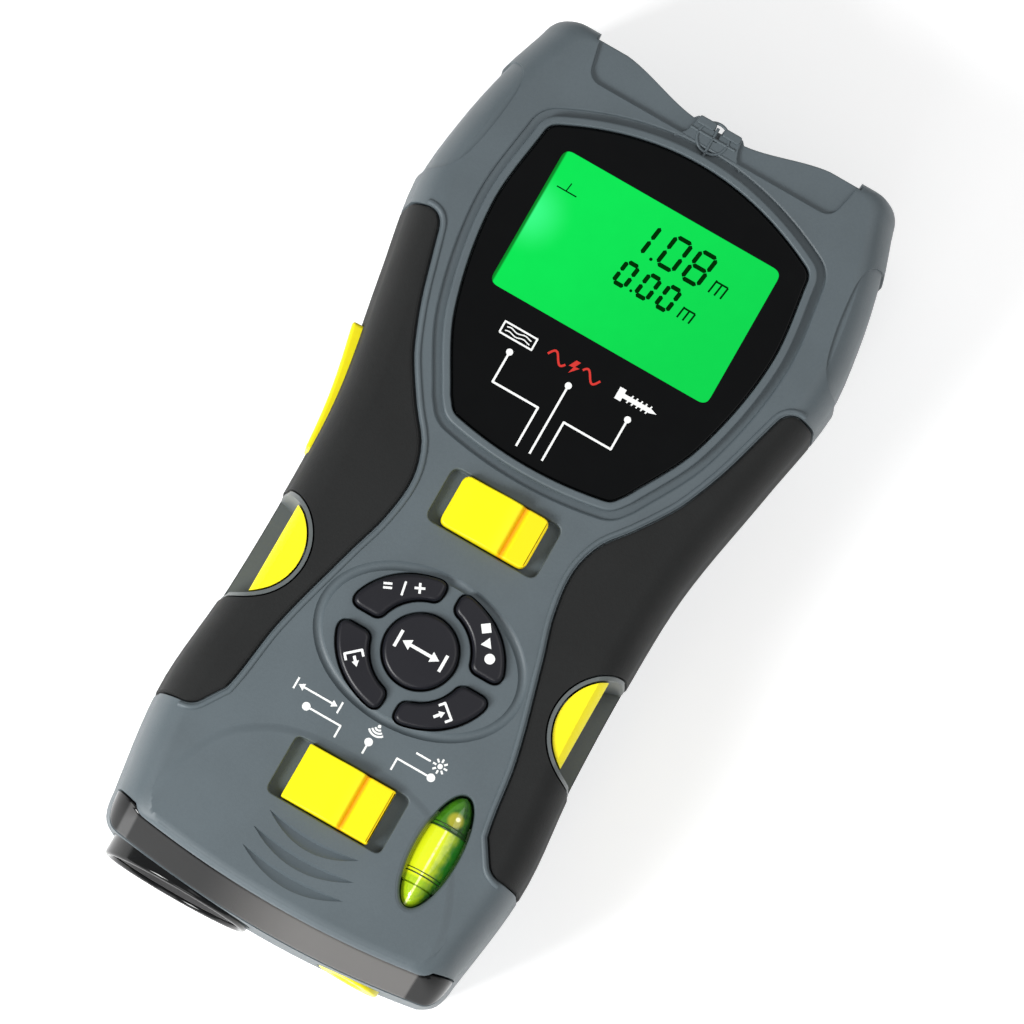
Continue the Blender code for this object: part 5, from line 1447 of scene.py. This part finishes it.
def panel_marks():
    """Signs, dots and leaders printed on the window: timber, live wire and metal."""
    line = 0.38
    row = y_at(107.9)
    plank = stroke([(-3.1, -1.05), (3.1, -1.05), (3.1, 1.05), (-3.1, 1.05), (-3.1, -1.05)], 0.32)
    for height in (-0.35, 0.35):
        grain = [(-2.4 + 0.4 * step, height + 0.16 * math.sin(step * 0.9)) for step in range(13)]
        plank += stroke(grain, 0.2)
    white = placed(plank, (-12.2, row))
    screw = [rectangle((-3.4, 0), (1.2, 2.2)), rectangle((-0.2, 0), (5.2, 0.8)),
             [(2.4, -0.4), (3.6, 0.0), (2.4, 0.4)]]
    for step in range(5):
        screw += stroke([(-1.8 + step * 0.9, -0.8), (-1.3 + step * 0.9, 0.8)], 0.26)
    white += placed(screw, (11.0, row))
    wave = [(x / 4, 0.95 * math.sin((x / 4 + 1.3) * 2 * math.pi / 3.6)) for x in range(-20, -5)]
    red = stroke(wave, 0.38) + stroke([(-x, -y) for x, y in wave], 0.38)
    bolt = [(-0.2, 1.25), (-0.95, -0.15), (-0.1, -0.05), (-0.45, -1.3), (0.95, 0.25), (0.1, 0.15),
            (0.65, 1.25)]
    red = placed([*red, bolt], (-1.4, row))
    top, knee, low = y_at(104.7), y_at(98.9), y_at(91.4)
    white += stroke([(-12.1, top), (-12.1, knee), (-3.3, knee), (-3.3, low)], line)
    white += stroke([(-0.7, top), (-0.7, low)], line)
    white += stroke([(10.8, top), (10.8, knee), (1.7, knee), (1.7, low)], line)
    return white, red, [(-12.1, top), (-0.7, top), (10.8, top)]


KEY_SIGNS = {
    "key_add": lambda: (placed(stroke([(-0.75, 0.36), (0.75, 0.36)], 0.4), (2.7, -0.25))
                        + placed(stroke([(-0.75, -0.36), (0.75, -0.36)], 0.4), (2.7, -0.25))
                        + stroke([(-0.3, -1.2), (0.3, 1.2)], 0.38)
                        + placed(stroke([(-0.9, 0), (0.9, 0)], 0.42), (-2.7, -0.25))
                        + placed(stroke([(0, -0.9), (0, 0.9)], 0.42), (-2.7, -0.25))),
    "key_mode": lambda: ([ellipse((-2.6, -0.3), (0.9, 0.9), 28)]
                         + [[(-0.95, -0.75), (0.95, -0.75), (0, 0.95)]]
                         + [rectangle((2.6, -0.3), (1.6, 1.6))]),
    "key_recall": lambda: (arrow((0, -0.55), (0, 1.35), 0.5, 1.0)
                           + stroke([(-1.5, -0.1), (-1.5, -1.25), (1.5, -1.25), (1.5, -0.1)], 0.42)),
    "key_store": lambda: (arrow((0, 1.4), (0, -0.7), 0.5, 1.0)
                          + stroke([(-1.5, -0.1), (-1.5, -1.25), (1.5, -1.25), (1.5, -0.1)], 0.42)),
    "key_read": lambda: span_mark(8.6, 3.1, 0.55),
}


# ---------------------------------------------------------------- display figures

SEGMENTS = {"0": "abcdef", "1": "bc", "8": "abcdefg"}


def figure(character, corner, width, height, lean):
    """Places of the lit segments of one figure: (point, turn, size)."""
    w, h = width, height
    shapes = {"a": ((w / 2, h), 0), "d": ((w / 2, 0), 0), "g": ((w / 2, h / 2), 0),
              "f": ((0, h * 0.75), 1), "b": ((w, h * 0.75), 1), "e": ((0, h * 0.25), 1),
              "c": ((w, h * 0.25), 1)}
    places = []
    for name in SEGMENTS[character]:
        (x, y), upright = shapes[name]
        length = (h / 2 if upright else w) - 0.24
        point = (corner[0] + x + y * math.tan(lean), corner[1] + y)
        turn = math.pi / 2 - lean if upright else 0.0
        places.append((point, turn, length))
    return places


def display_figures():
    """Segments of the two readings as copies of one pointed bar."""
    s = sizes()
    lean = math.radians(8)
    rows = []
    upper, lower = y_at(130.45), y_at(124.05)
    rows += figure("1", (-4.2, upper), 3.0, 5.7, lean) + figure("0", (1.9, upper), 2.95, 5.7, lean)
    rows += figure("8", (6.75, upper), 2.95, 5.7, lean)
    for corner in (-3.0, 1.3, 5.2):
        rows += figure("0", (corner, lower), 2.15, 4.2, lean)
    half = 0.5
    tip = 0.26
    bar = [(-half, 0), (-half + tip / 2, -tip), (half - tip / 2, -tip), (half, 0), (half - tip / 2, tip),
           (-half + tip / 2, tip)]
    item = prism("segment", bar, 0.0, 1.0)
    z = LENS_TOP - 0.07
    places = [((point[0], point[1], z), turn, (length, s.segment / (2 * tip), 0.03))
              for point, turn, length in rows]
    return copies("display_figures", item, places, finishes()["segment_ink"])


def unit_mark(x, y, size):
    """The small unit sign after a reading."""
    w, h = size
    outline = [(0, 0), (0, h)], [(0, h * 0.9), (w / 2, h * 0.9)], [(w / 2, h * 0.9), (w / 2, 0)], \
        [(w / 2, h * 0.9), (w, h * 0.9)], [(w, h * 0.9), (w, 0)]
    marks = []
    for pair in outline:
        marks += stroke([(x + px + py * 0.14, y + py) for px, py in pair], 0.32)
    return marks


# ---------------------------------------------------------------- operators

class METER_OT_front_cover(bpy.types.Operator):
    """Front cover, the beads beside its grips and the cross mark on the head"""

    bl_idname = "meter.front_cover"
    bl_label = "Front cover"

    def execute(self, context):
        shell = finishes()["shell_grey"]
        piece(shell_front(), "front_shell", shell, "casing", ("front_cover",), 28)
        for sign, side in ((-1, "left"), (1, "right")):
            loop = grip_region(GAP + 0.62)
            start = loop.index(min(loop))
            path = [(x * -sign, y) for x, y in loop[start:] + loop[:start] if x > -BODY_HALF - 1]
            points = [(x, y, skin_height(x, y) - 0.1) for x, y in path]
            points = [point for point in points if point[2] > PARTING + 1.0]
            points.sort(key=lambda point: path.index((point[0], point[1])))
            bead = bars("bead", [points], sizes().bead, shell, 14)
            piece(bead, side + "_grip_bead", shell, "casing", (), 60)
        end = y_at(BODY_LENGTH) - HEAD_DIP
        z = BODY_DEPTH - 0.13
        centre = (-0.3, end - 1.6)
        circle = [(*turned_point(centre, (2.75, 2.75), math.radians(angle)), z) for angle in range(0, 361, 6)]
        cross = [[(centre[0], end - 5.6, z), (centre[0], end + 0.4, z)],
                 [(centre[0] - 4.3, centre[1], z), (centre[0] + 4.3, centre[1], z)]]
        mark = bars("mark", [circle, *cross], 0.27, shell, 10)
        piece(mark, "head_cross_mark", shell, "casing", (), 60)
        return {"FINISHED"}


class METER_OT_rear_cover(bpy.types.Operator):
    """Rear cover"""

    bl_idname = "meter.rear_cover"
    bl_label = "Rear cover"

    def execute(self, context):
        piece(shell_rear(), "rear_shell", finishes()["shell_grey"], "casing",
              ("rear_cover",), 28)
        return {"FINISHED"}


class METER_OT_end_band(bpy.types.Operator):
    """Glossy band that closes the sensor end between the covers"""

    bl_idname = "meter.end_band"
    bl_label = "End band"

    def execute(self, context):
        band = casing("band")
        core = casing("core", BAND_WALL, WALL, BODY_DEPTH - 0.2)
        room = prism("room", band_plan(0.0), PARTING + GAP / 2, BAND_TOP - GAP)
        shape_with(band, ("keep", room), ("cut", core))
        soften(band, 0.25, 50, 2)
        piece(band, "end_band_gloss", finishes()["end_band"], "casing", ("end_band",))
        return {"FINISHED"}


class METER_OT_grips(bpy.types.Operator):
    """Rubber grips at both sides"""

    bl_idname = "meter.grips"
    bl_label = "Grips"

    def execute(self, context):
        steps = ((-0.5, 0.0), (-0.25, 0.07), (-0.1, 0.2), (0.0, 0.42))
        for sign, side in ((-1, "left"), (1, "right")):
            grip = layered("grip", grip_outline(sign, 0.0), GRIP_LOW, steps)
            core = casing("core", GRIP_THICKNESS, -2.0, BODY_DEPTH - GRIP_THICKNESS)
            cuts = [core, cup_cutter(sign, CUP_RADIUS, CUP_FLOOR - CUP_BOTTOM - GAP)]
            if sign < 0:
                cuts.append(trigger_gate())
            shape_with(grip, ("cut", *cuts))
            piece(grip, side + "_rubber_grip", finishes()["grip_rubber"], "casing",
                  (side + "_grip",))
        return {"FINISHED"}


class METER_OT_window(bpy.types.Operator):
    """Window, lit display, its figures and the printed signs"""

    bl_idname = "meter.window"
    bl_label = "Window and display"

    def execute(self, context):
        f = finishes()
        lens = cap("lens", grown(window_outline(), -GAP), LENS_TOP - LENS_THICKNESS, LENS_TOP, 0.3, 4)
        view = rounded(rectangle((0, DISPLAY_Y), DISPLAY_VIEW), 1.7)
        bed = prism("bed", view, LENS_TOP - 0.7, LENS_TOP + 1)
        shape_with(lens, ("cut", bed))
        piece(lens, "window_glass", f["window_panel"], "casing", ("window_lens",))
        lit = cap("lit", grown(view, -0.03), LENS_TOP - 0.66, LENS_TOP - 0.06, 0.05, 3)
        piece(lit, "display_face", f["display"], "casing")
        figures = display_figures()
        piece(figures, "display_figures", f["segment_ink"], "casing")
        upper, lower = y_at(130.5), y_at(124.1)
        marks = unit_mark(11.9, upper, (2.3, 2.5)) + unit_mark(9.4, lower, (2.2, 2.2))
        marks += [ellipse((0.75, upper), (0.3, 0.3), 12), ellipse((0.45, lower), (0.26, 0.26), 12)]
        marks += stroke([(-19.2, y_at(133.4)), (-15.4, y_at(133.4))], 0.22)
        marks += stroke([(-17.4, y_at(133.5)), (-17.2, y_at(135.0))], 0.2)
        printed("display_units", marks, LENS_TOP - 0.05, "segment_ink", "casing")
        white, red, dots = panel_marks()
        printed("panel_signs", white, LENS_TOP, "white_print", "casing")
        printed("panel_sign_live", red, LENS_TOP, "red_print", "casing")
        dots_at("panel_dots", dots, LENS_TOP, 0.6)
        return {"FINISHED"}


class METER_OT_keys(bpy.types.Operator):
    """Five keys and their signs"""

    bl_idname = "meter.keys"
    bl_label = "Keys"

    def execute(self, context):
        low = box_mm("key_read")[0].z
        outlines = {"key_read": ellipse((0, KEYS_Y), (READ_RADIUS, READ_RADIUS), 96)}
        for name, signs in (("key_add", (-1, 1)), ("key_mode", (1, 1)),
                            ("key_recall", (-1, -1)), ("key_store", (1, -1))):
            outlines[name] = sector_outline(*signs)
        turns = {"key_add": 205, "key_mode": 126, "key_recall": 222, "key_store": 140, "key_read": 180}
        middle = {"key_add": (-7.7, 7.7), "key_mode": (8.9, 6.5), "key_recall": (-8.9, -6.7),
                  "key_store": (8.2, -7.5), "key_read": (0, 0)}
        for name, outline in outlines.items():
            key = cap("key", outline, low + 1.1, KEY_TOP, sizes().key_edge, 6,
                      foot=((0.8, low), (0.8, low + 1.1)))
            piece(key, name + "_cap", finishes()["key_black"], name, (name,))
            x, y = middle[name]
            sign = placed(KEY_SIGNS[name](), (x, KEYS_Y + y), math.radians(turns[name]))
            printed(name + "_sign", sign, KEY_TOP, "white_print", name)
        return {"FINISHED"}


class METER_OT_sliders(bpy.types.Operator):
    """Upper and lower slider"""

    bl_idname = "meter.sliders"
    bl_label = "Sliders"

    def execute(self, context):
        for name, y, slot, width, hump, dent, corner in (
                ("lower_slider", LOWER_Y, LOWER_SLOT, LOWER_SLIDER_WIDTH, 0.6, 3.0, 0.35),
                ("upper_slider", UPPER_Y, UPPER_SLOT, UPPER_SLIDER_WIDTH, 1.0, 3.6, 1.5)):
            length = slot[1] - 2 * RUN_GAP
            low = BODY_DEPTH - SLOT_DEPTH
            edge = BODY_DEPTH + 1.5
            profile = [(-width / 2, low), (width / 2, low), (width / 2, edge)]
            for index in range(1, 80):
                x = width / 2 - width * index / 80
                share = min(max((x - dent + 0.9) / 1.1, 0.0), 1.0)
                step = share * share * (3 - 2 * share)
                bump = 1.05 * math.exp(-((x - hump) / 4.0) ** 2) * (1 - step) + 0.3 * step
                valley = 0.45 * math.exp(-((x - dent) / 0.45) ** 2)
                profile.append((x, edge + bump - valley))
            profile.append((-width / 2, edge))
            body = standing(prism("cap", profile, -length / 2, length / 2))
            body.data.transform(Matrix.Translation((0, y, 0)))
            plan = prism("plan", rounded(rectangle((0, y), (width, length)), corner, 6), low - 1, edge + 5)
            shape_with(body, ("keep", plan))
            soften(body, 0.32, 40, 3)
            tip = box_mm(name)[0].z
            stem = prism("stem", rectangle((0, y), STEM), tip, low + 0.8)
            foot = prism("foot", rectangle((0, y), (STEM[0] + 1.2, STEM[1] + 2 * RUN_GAP + 1.2)),
                         UNDERSIDE - GAP - 0.9, UNDERSIDE - GAP)
            shape_with(body, ("join", stem, foot))
            yellow = finishes()[name.split("_")[0] + "_yellow"]
            piece(body, name + "_cap", yellow, name, (name,), 45)
        return {"FINISHED"}


class METER_OT_trigger(bpy.types.Operator):
    """Long yellow trigger in the left side"""

    bl_idname = "meter.trigger"
    bl_label = "Side trigger"

    def execute(self, context):
        stations = [TRIGGER_STATION - TRIGGER_LENGTH / 2 + TRIGGER_LENGTH * index / 24 for index in range(25)]
        outer = []
        inner = []
        for index, station in enumerate(stations):
            outer.append((-half_width(station) - 0.5 - 1.2 * index / 24, y_at(station)))
            inner.append((-half_width(station) + WALL + GAP + 0.5, y_at(station)))
        bar = prism("bar", outer + inner[::-1], TRIGGER_Z - TRIGGER_HEIGHT / 2,
                    TRIGGER_Z + TRIGGER_HEIGHT / 2)
        soften(bar, 0.7, 40, 4)
        flange_low, flange_high = box_mm("side_trigger")
        reach = WALL + 2 * GAP + SIDE_DRAFT * (1 - (TRIGGER_Z - TRIGGER_HEIGHT / 2) / WIDEST_HEIGHT)
        near = []
        far = []
        for index in range(25):
            station = flange_low.y - START_Y + (flange_high.y - flange_low.y) * index / 24
            near.append((-half_width(station) + reach, y_at(station)))
            far.append((-half_width(station) + reach + 1.0, y_at(station)))
        flange = prism("flange", near + far[::-1], flange_low.z, flange_high.z)
        shape_with(bar, ("join", flange))
        piece(bar, "trigger_bar", finishes()["yellow"], "side_trigger", ("side_trigger",))
        return {"FINISHED"}


class METER_OT_wall_pins(bpy.types.Operator):
    """Round thumb recesses and their half-moon buttons"""

    bl_idname = "meter.wall_pins"
    bl_label = "Wall-pin buttons"

    def execute(self, context):
        for sign, side in ((-1, "left"), (1, "right")):
            x = sign * CUP_X
            cup = cup_cutter(sign, CUP_RADIUS - GAP, CUP_FLOOR - CUP_BOTTOM)
            bound = casing("bound", 0.25, -2.0, BODY_DEPTH - 0.25)
            hollow = cup_cutter(sign, CUP_RADIUS - GAP - CUP_WALL, CUP_FLOOR)
            pin_x = x - sign * PIN_INSET
            hole = rod("hole", PIN_HOLE, (pin_x, CUP_Y, CUP_FLOOR - 3), (pin_x, CUP_Y, CUP_FLOOR + 1), 32)
            shape_with(cup, ("keep", bound), ("cut", hollow, hole))
            piece(cup, side + "_thumb_recess", finishes()["inner_grey"], "casing",
                  (side + "_pin_cup",))
            chord = math.acos(BUTTON_CHORD / BUTTON_RADIUS)
            outline = [(x - sign * BUTTON_RADIUS * math.cos(chord - 2 * chord * index / 48),
                        CUP_Y + BUTTON_RADIUS * math.sin(chord - 2 * chord * index / 48))
                       for index in range(49)]
            button = prism("button", outline, BUTTON_UNDER, BODY_DEPTH + 1)
            shape_with(button, ("keep", casing("bound", 0.8, -2.0, BODY_DEPTH - 0.8)))
            piece(button, side + "_half_moon", finishes()["yellow"], side + "_pin",
                  (side + "_pin_button",))
        return {"FINISHED"}


class METER_OT_vial(bpy.types.Operator):
    """Bubble vial"""

    bl_idname = "meter.vial"
    bl_label = "Bubble vial"

    def execute(self, context):
        f = finishes()
        low, high = box_mm("vial_body")
        radius = (high.x - low.x) / 2
        reach = high.y - LOWER_Y
        middle = Vector((VIAL_MIDDLE.x, LOWER_Y, high.z - radius))

        def lens(name, start, end, steps):
            rings = []
            for index in range(steps + 1):
                t = (start + (end - start) * index / steps) / reach
                wide = radius * math.sqrt(max(1 - t * t, 0.001))
                tall = radius * max(1 - t * t, 0.001) ** 0.22
                rings.append([(middle.x + wide * math.cos(math.pi * side / 24), middle.y + t * reach,
                               middle.z + tall * math.sin(math.pi * side / 24)) for side in range(48)])
            return skinned(name, rings)

        bore = 1.95
        tube = lens("tube", -VIAL_CUT + 0.01, reach, 60)
        hollow = rod("bore", bore, middle - Vector((0, VIAL_CUT + 2, 0)),
                     middle + Vector((0, VIAL_CUT - 0.6, 0)), 48)
        green = f["vial_green"]
        piece(shape_with(tube, ("cut", hollow)), "vial_tube", green, "casing", ("vial_body",))
        end = lens("end", -VIAL_CUT - GAP, -reach, 24)
        stub = rod("stub", bore - 0.3, middle - Vector((0, VIAL_CUT + GAP + 0.5, 0)),
                   middle - Vector((0, VIAL_CUT - 1.2, 0)), 48)
        piece(shape_with(end, ("join", stub)), "vial_end", green, "casing", ("vial_plug",))
        rings = []
        for along, thick in ((-4.9, 0.12), (-4.3, 0.09), (3.9, 0.16), (4.6, 0.09)):
            wide = radius * math.sqrt(1 - (along / reach) ** 2)
            tall = radius * (1 - (along / reach) ** 2) ** 0.22
            path = [(middle.x + wide * math.cos(math.radians(angle)), middle.y + along,
                     middle.z + tall * math.sin(math.radians(angle))) for angle in range(12, 169, 6)]
            rings.append((path, thick))
        marks = [bars("ring", [path], thick, f["dark_line"], 8) for path, thick in rings]
        piece(joined("rings", marks), "vial_ring_lines", f["dark_line"], "casing", (), 60)
        bubble_low, bubble_high = box_mm("vial_bubble")
        size = (bubble_high - bubble_low) / 2
        centre = (bubble_low + bubble_high) / 2
        profile = [(size.x * math.cos(math.radians(angle)), size.y * math.sin(math.radians(angle)))
                   for angle in range(-90, 91, 6)]
        profile[0] = (0, profile[0][1])
        profile[-1] = (0, profile[-1][1])
        piece(turned("air", profile, centre, (0, 1, 0), 48), "air_bubble", f["bubble"], "vial_bubble",
              ("vial_bubble",))
        return {"FINISHED"}


class METER_OT_sensors(bpy.types.Operator):
    """Ultrasonic barrel and laser aperture in the end wall"""

    bl_idname = "meter.sensors"
    bl_label = "Sensor end"

    def execute(self, context):
        f = finishes()
        radius = (BARREL_HIGH.x - BARREL_LOW.x) / 2
        centre = (BARREL_LOW + BARREL_HIGH) / 2
        mouth = (centre.x, BARREL_LOW.y, centre.z)
        inner = radius - 1.3
        depth = BARREL_HIGH.y - BARREL_LOW.y
        angles = [math.pi * step / 6 for step in range(7)]
        profile = [(radius - 0.65 - 0.65 * math.cos(angle), 0.65 - 0.65 * math.sin(angle))
                   for angle in angles]
        profile += [(radius, depth), (inner, depth)]
        piece(turned("barrel", profile, mouth, (0, 1, 0), 128, True), "barrel_gloss", f["black_gloss"],
              "casing", ("ultrasonic_barrel",))
        rim = inner - GAP
        outer = []
        inside = []
        for step in range(25):
            t = step / 24
            flare = 5.2 + (rim - 5.2) * (1 - t) ** 1.6
            outer.append((flare - 0.02, 0.8 + 11.4 * t))
            inside.append((flare - 0.9, 0.8 + 11.4 * t))
        piece(turned("horn", outer + inside[::-1], mouth, (0, 1, 0), 96, True), "horn_flare",
              f["black_matte"], "casing", ("ultrasonic_horn",))
        ring_radius = (RING_HIGH.x - RING_LOW.x) / 2
        aim = ((RING_LOW.x + RING_HIGH.x) / 2, RING_LOW.y, (RING_LOW.z + RING_HIGH.z) / 2)
        profile = [(2.75, 3.4), (2.75, 0.5), (2.85, 0.25), (3.1, 0.05), (3.3, 0.0), (ring_radius - 0.5, 0.0),
                   (ring_radius - 0.2, 0.08), (ring_radius, 0.4), (ring_radius, 3.4)]
        piece(turned("ring", profile, aim, (0, 1, 0), 96, True), "laser_bezel", f["yellow"], "casing",
              ("laser_ring",))
        return {"FINISHED"}


class METER_OT_markings(bpy.types.Operator):
    """Signs, dots and leaders printed on the face"""

    bl_idname = "meter.markings"
    bl_label = "Printed signs"

    def execute(self, context):
        marks, dots = face_marks()
        printed("face_signs", marks, BODY_DEPTH, "white_print", "casing")
        dots_at("face_dots", dots, BODY_DEPTH, 0.72)
        return {"FINISHED"}


class METER_OT_battery_door(bpy.types.Operator):
    """Battery door with its finger ribs"""

    bl_idname = "meter.battery_door"
    bl_label = "Battery door"

    def execute(self, context):
        low, high = box_mm("battery_door")
        half = high.x - HINGE_STUB
        axis = (low.y + HINGE_INSET, (low.z + high.z) / 2)
        outline = [(-half, axis[0]), (half, axis[0]), (half, high.y), (-half, high.y)]
        door = prism("door", outline, low.z, high.z)
        edge = rod("edge", 0.89, (-half, *axis), (half, *axis), 48)
        shape_with(door, ("join", edge))
        soften(door, 0.18, 50, 2)
        stubs = rod("stubs", 0.7, (low.x, *axis), (high.x, *axis), 32)
        rib = prism("rib", rounded(rectangle((0, 0), (13.0, 0.7)), 0.3, 4), 0.0, 0.3)
        count = sizes().rib_count
        places = [((0, high.y - 3.0 - 1.7 * index, low.z - 0.14), 0.0, (1, 1, 1)) for index in range(count)]
        ribs = copies("ribs", rib, places, finishes()["shell_grey"])
        shape_with(door, ("join", stubs, ribs))
        piece(door, "battery_door_panel", finishes()["shell_grey"], "battery_door",
              ("battery_door",), 40)
        return {"FINISHED"}


class METER_OT_inner_parts(bpy.types.Operator):
    """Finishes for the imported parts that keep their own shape"""

    bl_idname = "meter.inner_parts"
    bl_label = "Inner parts"

    def execute(self, context):
        f = finishes()
        slots = {part["node"]: part["material_slot"] for part in frame["record"]["subparts"]}
        for name, node in frame["nodes"].items():
            for material_slot in node.material_slots:
                material_slot.material = f[slots[name]]
        return {"FINISHED"}


class METER_OT_stage(bpy.types.Operator):
    """Pale floor, soft lights and the camera"""

    bl_idname = "meter.stage"
    bl_label = "Studio"

    def execute(self, context):
        scene = context.scene
        floor = block("studio_floor", (-2500, -2500, -10), (2500, 2500, 0))
        floor.data.transform(Matrix.Scale(MM, 4))
        paper = Finish("Studio paper", Specular_IOR_Level=0.1, Emission_Color=(1.0, 1.0, 1.0),
                       Emission_Strength=0.4)
        colour = colours().floor
        paper.set("Base Color", paper.mix(paper.noise(200.0), shade(colour, 0.985), shade(colour, 1.0)))
        paper.set("Roughness", 0.85 + paper.noise(40.0) * 0.1)
        floor.data.materials.append(paper.material)
        floor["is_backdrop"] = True
        world = bpy.data.worlds.new("Studio sky")
        world.use_nodes = True
        world.node_tree.nodes["Background"].inputs["Color"].default_value = (1.0, 1.0, 1.0, 1.0)
        world.node_tree.nodes["Background"].inputs["Strength"].default_value = 0.42
        scene.world = world
        for name, place, size, power in (
                ("key_light", (-0.3, -0.42, 0.42), 0.22, 4.2),
                ("fill_light", (0.5, 0.3, 0.9), 0.8, 2.6),
                ("end_light", (0.1, -0.8, 0.4), 0.35, 1.2)):
            lamp = bpy.data.lights.new(name, "AREA")
            lamp.shape = "SQUARE"
            lamp.size = size
            lamp.energy = power
            light = linked(name, lamp)
            light.location = place
            light.rotation_euler = (Vector((0, 0, 0.02)) - Vector(place)).to_track_quat("-Z", "Y").to_euler()
        view = scene.meter_view
        back = Vector((0, -math.sin(view.tilt), math.cos(view.tilt)))
        ahead = Vector((0, math.cos(view.tilt), math.sin(view.tilt)))
        side = Vector((1, 0, 0))
        right = side * math.cos(view.turn) + ahead * math.sin(view.turn)
        up = ahead * math.cos(view.turn) - side * math.sin(view.turn)
        target = Vector((0.00165, (START_Y + 84.2) * MM, 0.021))
        camera = linked("camera", bpy.data.cameras.new("camera"))
        camera.data.type = "PERSP"
        camera.data.lens = view.lens
        camera.data.sensor_width = 36.0
        camera.data.clip_start = 0.05
        camera.data.clip_end = 20.0
        turn = Matrix((right, up, back)).transposed()
        camera.matrix_world = Matrix.Translation(target + back * view.distance) @ turn.to_4x4()
        scene.camera = camera
        scene.view_settings.view_transform = "Standard"
        return {"FINISHED"}


PIECES = (
    METER_OT_front_cover, METER_OT_rear_cover, METER_OT_end_band, METER_OT_grips, METER_OT_window,
    METER_OT_keys, METER_OT_sliders, METER_OT_trigger, METER_OT_wall_pins, METER_OT_vial, METER_OT_sensors,
    METER_OT_markings, METER_OT_battery_door, METER_OT_inner_parts, METER_OT_stage,
)


class METER_PT_panel(bpy.types.Panel):
    """Settings and pieces of the meter"""

    bl_idname = "METER_PT_panel"
    bl_label = "Distance meter"
    bl_space_type = "VIEW_3D"
    bl_region_type = "UI"
    bl_category = "Meter"

    def draw(self, context):
        layout = self.layout
        for group in (context.scene.meter_sizes, context.scene.meter_colours, context.scene.meter_view):
            box = layout.box()
            for name in group.bl_rna.properties.keys():
                if name not in {"rna_type", "name"}:
                    box.prop(group, name)
        for operator in PIECES:
            layout.operator(operator.bl_idname)


CLASSES = (MeterSizes, MeterColours, MeterView, *PIECES, METER_PT_panel)


def register():
    for item in CLASSES:
        bpy.utils.register_class(item)
    bpy.types.Scene.meter_sizes = bpy.props.PointerProperty(type=MeterSizes)
    bpy.types.Scene.meter_colours = bpy.props.PointerProperty(type=MeterColours)
    bpy.types.Scene.meter_view = bpy.props.PointerProperty(type=MeterView)


def unregister():
    del bpy.types.Scene.meter_view
    del bpy.types.Scene.meter_colours
    del bpy.types.Scene.meter_sizes
    for item in reversed(CLASSES):
        bpy.utils.unregister_class(item)


def main():
    register()
    for operator in PIECES:
        group, name = operator.bl_idname.split(".")
        getattr(getattr(bpy.ops, group), name)()
    boxes = {"cad": CAD_BOX, "visual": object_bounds()}
    {key: [list(corner) for corner in box] for key, box in boxes.items()}


if __name__ == "__main__":
    main()
